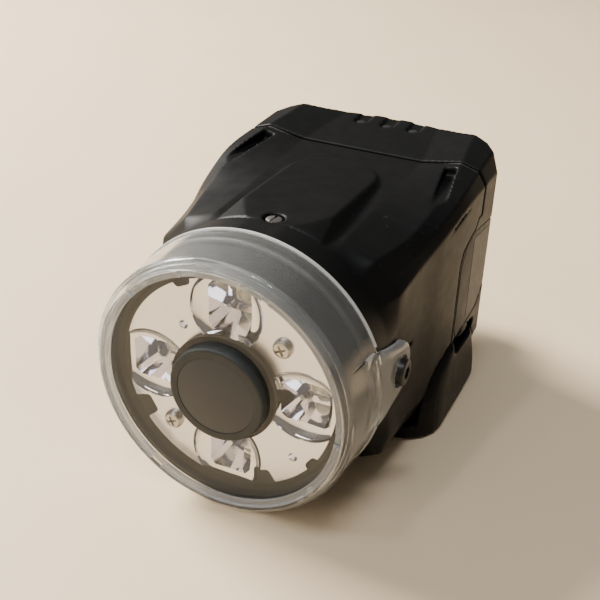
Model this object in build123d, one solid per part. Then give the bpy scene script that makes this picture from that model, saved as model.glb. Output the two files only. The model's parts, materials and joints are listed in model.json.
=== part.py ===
from build123d import *
import math
import os

# Machine-vision sensor head: a black two-part housing on a mounting base, with a ring light
# of four mirrored cups round a central lens hood, under a clear front cover with two ears.
#
# Sizes are millimetres. The solids are drawn about the optical axis: Y is the depth behind
# the front cover's edge, X is to the right seen from the front, and Z is up from the axis.
# They are moved to the part's own frame, with its origin under the middle, when written.

# ---- driving dimensions -------------------------------------------------------------------
AXIS_HEIGHT = 32.0          # optical axis above the surface that the base stands on
MID_DEPTH = 52.75           # depth of the middle of the whole length

COVER_R_FRONT = 31.0        # clear front cover, a slightly conical ring
COVER_R_REAR = 32.0
COVER_DEPTH = 14.0
COVER_BEVEL = 1.6
COVER_WALL = 1.75
WINDOW_R = 28.85
WINDOW_Y = -0.3
WINDOW_T = 1.5
RETAINER_R = 27.9
SEAL_Y = 11.0
SEAL_R = 29.15
SEAL_CORD_R = 0.85
EAR_Y, EAR_Z = 24.3, 0.8    # centre of each ear's screw hole
EAR_R = 6.8
EAR_HOLE_R = 3.9            # counterbore for the screw's head
EAR_FLOOR = 0.6             # left under the head
EAR_SCREW_R = 3.1
EAR_SCREW_TOP = 33.4
EAR_X = 29.95               # inner face of each ear
EAR_T = 2.05

BEZEL_R = 29.0
BEZEL_FLOOR = 5.0
REFLECTOR_R = 25.2
REFLECTOR_Y = 3.0
CUP_R = 18.2                # distance of each mirrored cup from the optical axis
CUP_COUNT = 4
CUP_MOUTH = (14.4, 12.6)    # across and along the radius
CUP_THROAT = 5.2
CUP_BACK = 12.4
LIGHT_BOARD_Y = 12.7
REFLECTOR_SCREW_R = 18.8
REFLECTOR_SCREW_ANGLES = (45, 225)

HOOD_R = 11.3
HOOD_BORE = 8.9
HOOD_FRONT = -2.0
LENS_WINDOW_R = 9.25

COLLAR_Y = 14.3             # front face of the housing
COLLAR_R = 31.0
FLARE_Y = (21.5, 27.0)      # cone from the collar out to the body
FLARE_R = 34.9
BULKHEAD_T = 2.9
FRONT_HALF_WIDTH = 29.7
BODY_BOTTOM = -28.0
PARTING_Y = 75.0
PARTING_GAP = 1.0
REAR_Y = 99.6
WALL = 2.3
CHEEK_Y = 61.0              # the rear cover's side cheeks reach forward to here
CHEEK_TOP = 16.0
CHEEK_BOTTOM = -12.5
CHEEK_T = 2.0

SPINE_HALF = 12.5
SPINE_TOP = 30.7
SPINE_END = 66.0

BASE_HALF_WIDTH = 35.2
BASE_Y = (44.0, 88.0)
BASE_CORNER = 11.0
BASE_TOP = -28.0
BASE_BOTTOM = -AXIS_HEIGHT
HOLE_SPACING = (50.0, 26.0) # mounting holes under the base
HOLE_MID_Y = 66.0
BASE_SCREWS = [(x, y) for x in (18.0, -18.0) for y in (49.5, 83.0)]
BASE_SCREW_R = 1.5
BASE_SCREW_END = -25.4
M3_TAP_R = 1.25
M3_R = 1.5

ADJUSTER_Y = 24.7           # vertical axis of the focus adjuster
ADJUSTER_R = 1.9
SHAFT_R = 1.2
MODULE = 0.5
PINION_TEETH = 12
PINION_Z = (12.4, 15.4)
PRESSURE_ANGLE = math.radians(20)
RUN = 0.05                  # radial running clearance
BARREL_R = 8.3
ROD_X = 13.0
ROD_R = 1.5
FRAME_Y = 34.0

MAIN_BOARD_Y = 52.0
POWER_BOARD_Y = 66.0
BOARD_T = 1.6
BOARD_HALF = (21.7, 17.7)
BOARD_POST = (19.0, 15.0)

CONNECTOR_X = 10.5
CONNECTOR_Z = -8.0
PANEL_Y = 98.0
THREAD_R = 6.0
THREAD_Y = 101.2            # the thread starts behind a narrower neck
NECK_R = 5.6
TAIL_R = 5.9
INSERT_R = 4.7
INSERT_FACE = 99.5
PIN_END = 104.0
CONNECTOR_END = 107.5
CASE_SCREWS = [(x, z) for x in (25.5, -25.5) for z in (21.0, -20.5)]
CASE_SCREW_SEAT = 86.0

INDICATOR_X = (-7.5, 0.0, 7.5)
INDICATOR_Y = 93.4
INDICATOR_Z = 29.2
INDICATOR_R = 1.3

# Body sections: depth, half width, top of the side face, outer shoulder, shoulder ridge, and
# the edge of the hollow beside the spine.
SECTIONS = [
    (27.4, 29.75, 18.2, (26.7, 22.0), (24.1, 25.0), (15.6, 26.8)),
    (40.0, 30.5, 20.1, (29.0, 22.6), (26.2, 25.3), (15.6, 26.9)),
    (50.0, 32.1, 23.0, (30.6, 25.4), (27.3, 27.3), (15.8, 27.4)),
    (62.0, 33.2, 25.6, (31.6, 28.2), (27.6, 29.4), (16.0, 28.0)),
    (75.5, 33.35, 25.8, (31.2, 29.3), (26.7, 30.7), (16.2, 28.3)),
    (91.0, 33.4, 25.4, (31.0, 29.8), (24.8, 31.7), (14.0, 29.8)),
    (101.0, 33.4, 24.8, (31.0, 29.6), (24.8, 31.6), (13.0, 29.9)),
]


# ---- plain shapes ---------------------------------------------------------------------------
def block(x0, x1, y0, y1, z0, z1):
    """A box between two corners."""
    middle = ((x0 + x1) / 2, (y0 + y1) / 2, (z0 + z1) / 2)
    return Pos(*middle) * Box(x1 - x0, y1 - y0, z1 - z0)


def disc(radius, y0, y1, x=0.0, z=0.0):
    """A cylinder along the optical axis."""
    return Pos(x, (y0 + y1) / 2, z) * Rot(90, 0, 0) * Cylinder(radius, y1 - y0)


def tube(outer, inner, y0, y1, x=0.0, z=0.0):
    return disc(outer, y0, y1, x, z) - disc(inner, y0 - 1, y1 + 1, x, z)


def post(radius, z0, z1, x=0.0, y=0.0):
    """An upright cylinder."""
    return Pos(x, y, (z0 + z1) / 2) * Cylinder(radius, z1 - z0)


def cross_pin(radius, x0, x1, y, z):
    """A cylinder along X."""
    return Pos((x0 + x1) / 2, y, z) * Rot(0, 90, 0) * Cylinder(radius, x1 - x0)


def turned(points):
    """A body of revolution about the optical axis, from (radius, depth) points."""
    return revolve(make_face(Polyline(*points, close=True)), Axis.Y)


def flat_plate(points, z0, z1):
    """An upright prism over an (x, y) outline."""
    outline = Polyline(*[(x, y, z0) for x, y in points], close=True)
    return extrude(make_face(outline), amount=z1 - z0, dir=(0, 0, 1))


def side_plate(points, x0, x1):
    """A prism along X over a (y, z) outline."""
    outline = Polyline(*[(x0, y, z) for y, z in points], close=True)
    return extrude(make_face(outline), amount=x1 - x0, dir=(1, 0, 0))


def facing_back(x, y, z):
    """A drawing plane square to the optical axis."""
    return Plane((x, y, z), x_dir=(1, 0, 0), z_dir=(0, 1, 0))


def both_sides(solid):
    return solid + mirror(solid, Plane.YZ)


def around(solid, angles):
    """Copies of one solid turned about the optical axis."""
    return [Rot(0, -angle, 0) * solid for angle in angles]


def group(solids):
    return Compound(children=[piece for item in solids for piece in item.solids()])


# ---- outer body -----------------------------------------------------------------------------
def section(row, inset):
    """One closed cross-section of the body, drawn in by the wall thickness."""
    depth, half, side_top, outer, ridge, hollow = row
    right = [(half - 6.5, BODY_BOTTOM), (half, BODY_BOTTOM + 7.5), (half, side_top)]
    right += [outer, ridge, hollow]
    shrink_x = (half - inset) / half
    shrink_z = (ridge[1] - inset) / ridge[1]
    points = right + [(-x, z) for x, z in reversed(right)]
    outline = [(x * shrink_x, depth, z * shrink_z) for x, z in points]
    return make_face(Polyline(*outline, close=True))


def body_loft(inset=0.0):
    return loft([section(row, inset) for row in SECTIONS])


def collar(inset=0.0):
    """The round front of the body, with flat sides and a flat top."""
    flare_start, flare_end = FLARE_Y
    points = [(0, COLLAR_Y), (COLLAR_R - inset, COLLAR_Y), (COLLAR_R - inset, flare_start)]
    points += [(FLARE_R - inset, flare_end), (FLARE_R - inset, flare_end + 1.5), (0, flare_end + 1.5)]
    side = FRONT_HALF_WIDTH - inset
    limit = block(-side, side, COLLAR_Y - 1, FLARE_Y[1] + 9, BODY_BOTTOM + inset, SPINE_TOP - inset)
    return turned(points) & limit


def spine():
    """Raised strip along the top, with a rounded rear end and sloping flanks."""
    start = FLARE_Y[0] + 1
    straight = SPINE_END - SPINE_HALF
    outline = Rectangle(2 * SPINE_HALF, straight - start)
    plan = Pos(0, (start + straight) / 2) * outline + Pos(0, straight) * Circle(SPINE_HALF)
    strip = extrude(Pos(0, 0, 25.5) * plan, amount=SPINE_TOP - 25.5, taper=28)
    fall = math.degrees(math.atan2(1.3, SPINE_END - ADJUSTER_Y))
    top = Pos(0, ADJUSTER_Y, SPINE_TOP - 10) * Rot(-fall, 0, 0) * Pos(0, 0, 5) * Box(60, 120, 10)
    return strip & top


def crown():
    """Upright envelope of the convex rear face."""
    arc = ThreePointArc((-19.0, 95.6), (0, REAR_Y), (19.0, 95.6))
    corner = [(19.0, 95.6), (28.5, 92.2), (33.4, 86.5), (40, 0)]
    corners = Polyline(*corner, *[(-x, y) for x, y in reversed(corner)])
    plan = make_face([arc, *corners.edges()])
    return extrude(Pos(0, 0, -40) * plan, amount=80, dir=(0, 0, 1))


def base_block():
    """Envelope of the mounting base, whose cheeks rise up the sides of the body."""
    middle = sum(BASE_Y) / 2
    length = BASE_Y[1] - BASE_Y[0]
    rows = [(BASE_BOTTOM, BASE_HALF_WIDTH - 0.6, length - 1.2, 0.0),
            (BASE_BOTTOM + 1.2, BASE_HALF_WIDTH, length, 0.0),
            (-24.0, BASE_HALF_WIDTH - 0.6, length - 2.0, 1.0),
            (-19.0, BASE_HALF_WIDTH - 1.2, length - 9.0, 4.5),
            (-15.0, 33.2, length - 19.0, 8.0)]
    return loft([Pos(0, middle + shift, z) * RectangleRounded(2 * half, size, BASE_CORNER - 1)
                 for z, half, size, shift in rows])


def base_zone():
    """The part of the base envelope that the base fills: its floor and its side cheeks."""
    keep = block(-40, 40, 30, 99, BASE_BOTTOM - 1, BASE_TOP)
    keep += both_sides(block(31.0, 40, 30, 99, BASE_TOP, 0))
    return base_block() & keep


def cheek_zone():
    """Where the rear cover's side cheeks lie over the front housing."""
    outline = [(CHEEK_Y, CHEEK_BOTTOM), (CHEEK_Y, CHEEK_TOP - 6), (CHEEK_Y + 3, CHEEK_TOP - 1),
               (CHEEK_Y + 11, CHEEK_TOP), (PARTING_Y + 4, CHEEK_TOP), (PARTING_Y + 4, CHEEK_BOTTOM)]
    return both_sides(side_plate(outline, 33.4 - CHEEK_T - 0.3, 40.0))


def shell():
    """The whole black body before it is parted: outside less the hollow inside."""
    outside = body_loft() + collar() + spine()
    return outside & crown()


def hollow():
    """The space inside the housing and the rear cover."""
    inside = body_loft(WALL) & block(-60, 60, 26, REAR_Y - 4.1, -60, 60)
    inside &= Pos(0, -WALL - 1.8, 0) * crown()
    front = collar(WALL) & block(-60, 60, COLLAR_Y + BULKHEAD_T, 29, -60, 60)
    return inside + front


def case_bosses(radius, y0, y1):
    """Screw bosses in the corners, each tied to the side wall by a web."""
    bosses = []
    for x, z in CASE_SCREWS:
        edge = math.copysign(31.6, x)
        web = block(min(x, edge), max(x, edge), y0, y1, z - 1.2, z + 1.2)
        bosses.append(disc(radius, y0, y1, x, z) + web)
    return bosses


def side_slots():
    """Narrow dark slot under each cheek."""
    outline = [(62.0, -14.4), (63.2, -12.6), (79.0, -13.8), (80.5, -15.4), (79.0, -16.4), (63.5, -15.8)]
    return both_sides(side_plate(outline, 30.2, 40))


def shoulder_pockets():
    """Long pockets in the top of the shoulders, deepest at the rear."""
    outline = [(58.0, 29.5), (72.5, 27.2), (74.0, 33.0), (58.0, 33.0)]
    pocket = side_plate(outline, -1.3, 1.3)
    return both_sides(Pos(27.3, 58, 0) * Rot(0, 0, 10) * Pos(0, -58, 0) * pocket)


def front_housing():
    solid = shell() - hollow()
    keep = block(-60, 60, 0, PARTING_Y, -60, 60)
    solid = solid & keep
    for boss in case_bosses(3.4, 63.0, PARTING_Y):
        solid += boss
    for x, z in board_places():
        solid += disc(2.4, COLLAR_Y + 1, MAIN_BOARD_Y, x, z)
        solid -= disc(M3_TAP_R, 38.0, MAIN_BOARD_Y + 1, x, z)
    solid += post(4.2, 22.8, 29.0, 0, ADJUSTER_Y)
    solid -= post(2.6, 20.0, 28.0, 0, ADJUSTER_Y)
    solid -= post(2.25, 27.0, 40.0, 0, ADJUSTER_Y)
    solid -= cheek_zone()
    solid -= base_zone()
    solid -= shoulder_pockets()
    solid -= side_slots()
    solid -= base_screw_holes()
    solid -= disc(HOOD_R, 0, 20)
    for x in (ROD_X, -ROD_X):
        solid -= disc(ROD_R, 10, 20, x, 0)
    for angle in REFLECTOR_SCREW_ANGLES:
        solid -= Rot(0, -angle, 0) * disc(M3_TAP_R, 10, 20, REFLECTOR_SCREW_R, 0)
    for x, z in CASE_SCREWS:
        solid -= disc(M3_R, 64.0, 80.0, x, z)
    return solid - both_sides(cross_pin(M3_R, 24.0, 40.0, EAR_Y, EAR_Z))


def rear_cover():
    solid = shell() - hollow()
    keep = block(-60, 60, PARTING_Y + PARTING_GAP, 120, -60, 60)
    cheeks = (shell() - body_loft(CHEEK_T)) & cheek_zone()
    solid = (solid & keep) + (cheeks & block(-60, 60, 0, PARTING_Y + 4, -60, 60))
    for boss in case_bosses(3.8, PARTING_Y + PARTING_GAP, 91.0):
        solid += boss & crown()
    for x, z in CASE_SCREWS:
        solid -= disc(M3_R + 0.2, 70.0, 100.0, x, z)
        solid -= disc(3.1, CASE_SCREW_SEAT, 110.0, x, z)
    solid += connector_panel(PANEL_Y)
    solid -= block(-22.0, 22.0, PANEL_Y, 110, CONNECTOR_Z - 10.5, CONNECTOR_Z + 10.5)
    solid -= block(-19.0, 19.0, 86.0, 95.2, CONNECTOR_Z - 8.6, CONNECTOR_Z + 8.6)
    for x in INDICATOR_X:
        solid -= post(INDICATOR_R, 20.0, 40.0, x, INDICATOR_Y)
        solid -= block(x - 1.7, x + 1.7, INDICATOR_Y - 1.7, 110, INDICATOR_Z, 40.0)
    for x in (CONNECTOR_X, -CONNECTOR_X):
        solid -= disc(TAIL_R, 90, 110, x, CONNECTOR_Z)
    solid -= base_zone()
    solid -= side_slots()
    solid -= base_screw_holes()
    return solid - label_recess()


def connector_panel(y):
    """Flat pad on the rear face that the connector flanges rest on."""
    start = 92.0
    pad = facing_back(0, start, CONNECTOR_Z) * RectangleRounded(44.0, 21.0, 4.0)
    return extrude(pad, amount=y - start, dir=(0, 1, 0)) - hollow()


def housing_gasket():
    """Rubber seal in the groove between the two halves of the case."""
    zone = block(-60, 60, PARTING_Y, PARTING_Y + PARTING_GAP, -60, 60)
    ring = (body_loft(0.5) - body_loft(WALL + 1.3)) & zone
    for x, z in CASE_SCREWS:
        ring -= disc(M3_R + 0.3, PARTING_Y - 1, PARTING_Y + 3, x, z)
    return ring - cheek_zone() - base_zone()


def label_outline(margin):
    """Side plate outline with a cut front corner and a slanting lower end."""
    front = 62.2 - margin
    rear = 86.0 + margin
    upper = [(front, -9.0), (front, 8.5), (65.5 - margin, 13.5 + margin), (71.5, 14.6 + margin)]
    lower = [(rear, -6.0 - margin), (80.5, -10.5 - margin), (64.0, -11.8 - margin)]
    return upper + [(rear, 12.6 + margin)] + lower


def label_recess():
    return side_plate(label_outline(0.15), 32.7, 40)


def label_plate():
    return side_plate(label_outline(0.0), 32.7, 33.2) & crown()


def mounting_base():
    solid = base_zone()
    for x, y in mounting_holes():
        solid -= post(2.5, BASE_BOTTOM - 1, BASE_TOP + 1, x, y)
    for x, y in BASE_SCREWS:
        solid -= post(3.0, BASE_BOTTOM - 1, BASE_BOTTOM + 1.8, x, y)
    return solid - base_screw_holes() - side_slots()


def base_screw_holes():
    return group([post(BASE_SCREW_R, BASE_BOTTOM - 1, -20.0, x, y) for x, y in BASE_SCREWS])


def mounting_holes():
    half_x, half_y = HOLE_SPACING[0] / 2, HOLE_SPACING[1] / 2
    return [(x, HOLE_MID_Y + y) for x in (-half_x, half_x) for y in (-half_y, half_y)]


def mount_inserts():
    """Knurled brass bushes that take the mounting bolts."""
    bush = post(2.5, BASE_BOTTOM, BASE_TOP) - post(M3_TAP_R, BASE_BOTTOM - 1, BASE_TOP + 1)
    return group([Pos(x, y, 0) * bush for x, y in mounting_holes()])


def base_screws():
    """Flat-headed screws that hold the base to the floors of both halves of the case."""
    head_top = BASE_BOTTOM + 1.8
    screw = post(2.9, BASE_BOTTOM + 0.5, head_top) + post(BASE_SCREW_R, head_top, BASE_SCREW_END)
    screw -= block(-2.0, 2.0, -0.4, 0.4, BASE_BOTTOM - 1, BASE_BOTTOM + 1.1)
    return group([Pos(x, y, 0) * screw for x, y in BASE_SCREWS])


# ---- front cover and ring light -------------------------------------------------------------
def front_cover():
    """Clear ring with a bevelled front edge and an ear on each side."""
    inner_front = WINDOW_R + 0.05
    outer = [(29.4, -COVER_BEVEL), (COVER_R_FRONT, 0), (COVER_R_REAR, COVER_DEPTH)]
    inner = [(COVER_R_REAR - COVER_WALL, COVER_DEPTH), (COVER_R_FRONT - COVER_WALL, 1.2)]
    ring = turned([(inner_front, -COVER_BEVEL), *outer, *inner, (inner_front, 1.2)])
    upper = [(8.0, 11.3), (COVER_DEPTH, 11.3), (16.0, 10.2), (19.0, 9.0), (EAR_Y, EAR_Z + EAR_R)]
    lower = [(EAR_Y, EAR_Z - EAR_R), (19.0, -6.4), (COVER_DEPTH, -7.2), (8.0, -7.6)]
    ear = side_plate(upper + lower, EAR_X, EAR_X + EAR_T)
    ear += cross_pin(EAR_R, EAR_X, EAR_X + EAR_T, EAR_Y, EAR_Z)
    ear -= disc(COVER_R_REAR - COVER_WALL, 0, COVER_DEPTH)
    ear -= cross_pin(EAR_HOLE_R, EAR_X + EAR_FLOOR, 40, EAR_Y, EAR_Z)
    ear -= cross_pin(M3_R + 0.25, 20, 40, EAR_Y, EAR_Z)
    cone = [(0, 0), (COVER_R_FRONT, 0), (COVER_R_REAR, COVER_DEPTH), (33.2, 18), (33.6, 20)]
    ear &= turned(cone + [(33.6, 40), (0, 40)])
    return ring + both_sides(ear)


def front_window():
    return tube(WINDOW_R, HOOD_R + 0.1, WINDOW_Y, WINDOW_Y + WINDOW_T)


def window_retainer():
    """Snap ring over the window's rim, with bayonet notches."""
    ring = tube(WINDOW_R, RETAINER_R, -1.4, WINDOW_Y)
    for angle in (115, 235, 355):
        ring -= Rot(0, -angle, 0) * block(RETAINER_R - 1, RETAINER_R + 0.5, -2, 0, -2.6, 2.6)
    return ring


def cover_seal():
    return Pos(0, SEAL_Y, 0) * Rot(90, 0, 0) * Torus(SEAL_R, SEAL_CORD_R)


def cover_screws():
    """Black socket-head screws through the ears."""
    seat = EAR_X + EAR_FLOOR
    screw = cross_pin(EAR_SCREW_R, seat, EAR_SCREW_TOP, EAR_Y, EAR_Z) + cross_pin(M3_R, 25.0, seat, EAR_Y, EAR_Z)
    face = Plane((EAR_SCREW_TOP, EAR_Y, EAR_Z), x_dir=(0, 1, 0), z_dir=(1, 0, 0))
    screw -= extrude(face * RegularPolygon(1.45, 6), amount=-1.7)
    return group([screw, mirror(screw, Plane.YZ)])


def cup(extra):
    """One mirrored cup as a solid tapering form, mouth to throat."""
    across, along = CUP_MOUTH
    mouth = facing_back(CUP_R, REFLECTOR_Y - 0.01, 0)
    throat = facing_back(CUP_R, CUP_BACK, 0)
    size = CUP_THROAT + 2 * extra
    return loft([mouth * RectangleRounded(along + 2 * extra, across + 2 * extra, 2.0),
                 throat * RectangleRounded(size, size, 1.0)])


def cup_angles():
    return [90 * number for number in range(CUP_COUNT)]


def light_bezel():
    """Grey cup round the reflector, with a sloping inner wall and a floor."""
    rear = COLLAR_Y
    back = BEZEL_FLOOR + 1.4
    points = [(HOOD_R + 0.9, BEZEL_FLOOR), (26.4, BEZEL_FLOOR), (27.4, 1.2), (BEZEL_R, 1.2)]
    points += [(BEZEL_R, rear), (27.4, rear), (27.4, back), (HOOD_R + 0.9, back)]
    solid = turned(points) - cover_seal()
    for hole in around(cup(0.8), cup_angles()):
        solid -= hole
    for angle in REFLECTOR_SCREW_ANGLES:
        solid -= Rot(0, -angle, 0) * disc(1.45, 0, 15, REFLECTOR_SCREW_R, 0)
    return solid


def reflector():
    """Bright plate with four tapering cups and a notched rim."""
    solid = disc(REFLECTOR_R, REFLECTOR_Y, BEZEL_FLOOR)
    for outer in around(cup(0.7), cup_angles()):
        solid += outer & disc(REFLECTOR_R, REFLECTOR_Y, CUP_BACK)
    for inner in around(cup(0.0), cup_angles()):
        solid -= inner
    solid -= disc(HOOD_R + 0.4, 0, 20)
    for angle, width in ((122, 2.6), (216, 5.0), (292, 5.0), (330, 3.6)):
        notch = block(REFLECTOR_R - 2.6, REFLECTOR_R + 2, 0, BEZEL_FLOOR + 1, -width / 2, width / 2)
        solid -= Rot(0, -angle, 0) * notch
    for angle in REFLECTOR_SCREW_ANGLES:
        solid -= Rot(0, -angle, 0) * disc(1.45, 0, 15, REFLECTOR_SCREW_R, 0)
        solid -= Rot(0, -angle - 90, 0) * disc(0.8, 0, REFLECTOR_Y + 0.5, CUP_R, 0)
    return solid


def reflector_screws():
    """Pan-head screws with a cross recess."""
    head = disc(2.25, REFLECTOR_Y - 1.5, REFLECTOR_Y)
    head = fillet(head.edges().group_by(Axis.Y)[0], 0.9) + disc(M3_TAP_R, REFLECTOR_Y, 17.0)
    for turn in (0, 90):
        head -= Rot(0, turn, 0) * block(-1.2, 1.2, 0, REFLECTOR_Y - 0.6, -0.28, 0.28)
    screw = Pos(REFLECTOR_SCREW_R, 0, 0) * head
    return group(around(screw, REFLECTOR_SCREW_ANGLES))


def light_board():
    board = tube(27.2, HOOD_R + 0.4, LIGHT_BOARD_Y, COLLAR_Y)
    for angle in REFLECTOR_SCREW_ANGLES:
        board -= Rot(0, -angle, 0) * disc(1.45, 0, 15, REFLECTOR_SCREW_R, 0)
    return board


def light_emitters():
    """A square emitter with a clear dome in each cup's throat."""
    chip = block(CUP_R - 1.8, CUP_R + 1.8, LIGHT_BOARD_Y - 0.9, LIGHT_BOARD_Y, -1.8, 1.8)
    dome = Pos(CUP_R, LIGHT_BOARD_Y - 0.9, 0) * Sphere(1.35)
    emitter = chip + (dome & block(0, 30, 0, LIGHT_BOARD_Y - 0.5, -5, 5))
    return group(around(emitter, cup_angles()))


def lens_hood():
    """Round matte hood that stands through the window."""
    body = disc(HOOD_R, HOOD_FRONT, COLLAR_Y + BULKHEAD_T)
    body = fillet(body.edges().group_by(Axis.Y)[0], 0.7)
    body -= disc(HOOD_BORE, HOOD_FRONT - 1, 30)
    return body - disc(LENS_WINDOW_R, HOOD_FRONT - 1, -0.4)


def lens_window():
    return disc(LENS_WINDOW_R, -1.4, -0.4)


def hood_seal():
    return tube(HOOD_R + 1.3, HOOD_R, 1.2, 2.4)


# ---- focus mechanism ------------------------------------------------------------------------
def pinion_outline():
    """Involute teeth, thinned for backlash, from the base circle to the tip."""
    pitch = MODULE * PINION_TEETH / 2
    base = pitch * math.cos(PRESSURE_ANGLE)
    tip = pitch + 0.8 * MODULE
    root = pitch - 0.9 * MODULE
    half_pitch = math.pi / (2 * PINION_TEETH) - 0.05 / pitch
    lead = math.tan(PRESSURE_ANGLE) - PRESSURE_ANGLE
    points = []
    for tooth in range(PINION_TEETH):
        middle = 2 * math.pi * (tooth + 0.5) / PINION_TEETH
        flank = []
        for radius in (base, (base + pitch) / 2, pitch, tip):
            roll = math.acos(min(1.0, base / radius))
            flank.append((radius, half_pitch + lead - (math.tan(roll) - roll)))
        start = flank[0][1]
        left = [(root, -start)] + [(radius, -angle) for radius, angle in flank]
        right = [(radius, angle) for radius, angle in reversed(flank)] + [(root, start)]
        for radius, angle in left + right:
            points.append((radius * math.cos(middle + angle), radius * math.sin(middle + angle)))
    return points


def focus_pinion():
    points = [(x, ADJUSTER_Y + y) for x, y in pinion_outline()]
    return flat_plate(points, *PINION_Z) - post(SHAFT_R, 0, 40, 0, ADJUSTER_Y)


def focus_adjuster():
    """Slotted head and shaft, turned with a screwdriver from above."""
    head = post(ADJUSTER_R, 28.2, SPINE_TOP - 0.3, 0, ADJUSTER_Y)
    head = fillet(head.edges().group_by(Axis.Z)[-1], 0.4)
    head -= block(-0.3, 0.3, ADJUSTER_Y - 3, ADJUSTER_Y + 3, SPINE_TOP - 1.1, 40)
    return head + post(SHAFT_R, 9.8, 28.2, 0, ADJUSTER_Y)


def adjuster_clip():
    """Retaining clip on the shaft under the bush."""
    ring = post(2.3, 21.9, 22.5, 0, ADJUSTER_Y) - post(SHAFT_R, 20, 24, 0, ADJUSTER_Y)
    return ring - block(-0.6, 0.6, ADJUSTER_Y, ADJUSTER_Y + 4, 21, 23)


def adjuster_bush():
    return post(2.6, 22.8, 28.0, 0, ADJUSTER_Y) - post(SHAFT_R + RUN, 20, 30, 0, ADJUSTER_Y)


def rack():
    """Straight teeth beside the pinion, in mesh with it at rest."""
    pitch_x = MODULE * PINION_TEETH / 2
    step = math.pi * MODULE
    half = step / 4 - 0.05
    slope = math.tan(PRESSURE_ANGLE)
    tip_x = pitch_x - 0.62 * MODULE
    root_x = pitch_x + 1.1 * MODULE
    points = []
    for number in range(-2, 4):
        middle = ADJUSTER_Y + number * step
        low_root = middle - half - slope * (root_x - pitch_x)
        low_tip = middle - half + slope * (pitch_x - tip_x)
        points += [(root_x, low_root), (tip_x, low_tip)]
        points += [(tip_x, 2 * middle - low_tip), (root_x, 2 * middle - low_root)]
    points += [(root_x, ADJUSTER_Y + 5.6), (root_x + 2.0, ADJUSTER_Y + 5.6)]
    points += [(root_x + 2.0, ADJUSTER_Y - 4.4), (root_x, ADJUSTER_Y - 4.4)]
    return flat_plate(points, PINION_Z[0] - 0.3, PINION_Z[1] + 0.3)


def lens_carriage():
    """Sliding lens tube with guide lugs and the focus rack."""
    root_x = MODULE * PINION_TEETH / 2 + 1.1 * MODULE
    solid = disc(BARREL_R, 4.0, 27.0) + block(-16.0, 16.0, 21.5, 27.0, -3.5, 3.5)
    solid += block(root_x, root_x + 2.0, 21.5, 27.0, 5.0, PINION_Z[0]) + rack()
    solid -= disc(7.3, 0, 19.0)
    solid -= disc(6.3, 0, 30)
    for x in (ROD_X, -ROD_X):
        solid -= disc(ROD_R + RUN, 10, 40, x, 0)
    return solid


def biconvex(radius, y, thick, bulge):
    """A lens with two curved faces, turned about the optical axis."""
    ball = (radius ** 2 + bulge ** 2) / (2 * bulge)
    half_turn = math.asin(radius / ball) / 2
    half = ball * math.sin(half_turn)
    sag = bulge - ball * (1 - math.cos(half_turn))
    front = ThreePointArc((0, y - bulge), (half, y - sag), (radius, y))
    back = ThreePointArc((radius, y + thick), (half, y + thick + sag), (0, y + thick + bulge))
    rim = Line((radius, y), (radius, y + thick))
    axis = Line((0, y + thick + bulge), (0, y - bulge))
    return revolve(make_face([front, rim, back, axis]), Axis.Y)


def front_lens():
    return biconvex(7.3, 6.5, 1.6, 1.0)


def rear_lens():
    return biconvex(6.3, 22.0, 1.4, 0.8)


def lens_spacer():
    """Thin tube that holds the lenses apart and carries the aperture."""
    return tube(7.3, 6.6, 10.2, 16.4) + tube(7.3, 3.0, 16.4, 17.0)


def lens_lock_ring():
    return tube(7.3, 6.0, 4.2, 5.2)


def guide_rods():
    return group([disc(ROD_R, COLLAR_Y + 0.6, FRAME_Y + 2.0, x, 0) for x in (ROD_X, -ROD_X)])


def lens_frame():
    """Bracket behind the bulkhead: rear plate, side rails and the shaft's lower bearing."""
    start = COLLAR_Y + BULKHEAD_T
    solid = block(-18.6, 18.6, FRAME_Y, FRAME_Y + 2.0, -11.0, 11.0) - disc(7.0, 30, 40)
    solid += both_sides(block(17.0, 18.6, start, FRAME_Y, -6.0, 11.0))
    solid += block(-18.6, 1.9, ADJUSTER_Y - 2.6, ADJUSTER_Y + 2.6, 9.4, 11.0)
    solid -= post(SHAFT_R + RUN, 0, 40, 0, ADJUSTER_Y)
    for x in (ROD_X, -ROD_X):
        solid -= disc(ROD_R, 30, 40, x, 0)
    return solid


# ---- sensor and electronics -----------------------------------------------------------------
def sensor_board():
    return block(-17.0, 17.0, 40.0, 40.0 + BOARD_T, -13.0, 13.0)


def image_sensor():
    return block(-5.5, 5.5, 38.6, 40.0, -4.5, 4.5)


def sensor_posts():
    places = [(15.0, 9.0), (-15.0, 9.0), (15.0, -9.0), (-15.0, -9.0)]
    return group([disc(1.6, FRAME_Y + 2.0, 40.0, x, z) for x, z in places])


def board_places():
    half_x, half_z = BOARD_POST
    return [(x, z) for x in (half_x, -half_x) for z in (half_z, -half_z)]


def circuit_board(y):
    """Main and power boards share one outline with a post hole in each corner."""
    half_x, half_z = BOARD_HALF
    board = block(-half_x, half_x, y, y + BOARD_T, -half_z, half_z)
    for x, z in board_places():
        board -= disc(M3_TAP_R, y - 1, y + 3, x, z)
    return board


def main_board():
    return circuit_board(MAIN_BOARD_Y)


def processor():
    front = MAIN_BOARD_Y + BOARD_T
    return block(-8.0, 8.0, front, front + 1.4, -8.0, 8.0)


def heat_spreader():
    """Finned aluminium plate on the processor."""
    front = MAIN_BOARD_Y + BOARD_T + 1.4
    solid = block(-12.0, 12.0, front, front + 1.6, -12.0, 12.0)
    for number in range(6):
        x = -11.0 + number * 4.2
        solid += block(x, x + 1.0, front + 1.6, front + 5.0, -12.0, 12.0)
    return solid


def memory_chips():
    front = MAIN_BOARD_Y + BOARD_T
    chip = block(0, 6.0, front, front + 1.0, 0, 8.0)
    return group([Pos(x, 0, z) * chip for x in (13.2, -19.2) for z in (2.0, -10.0)])


def power_board():
    return circuit_board(POWER_BOARD_Y)


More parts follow.
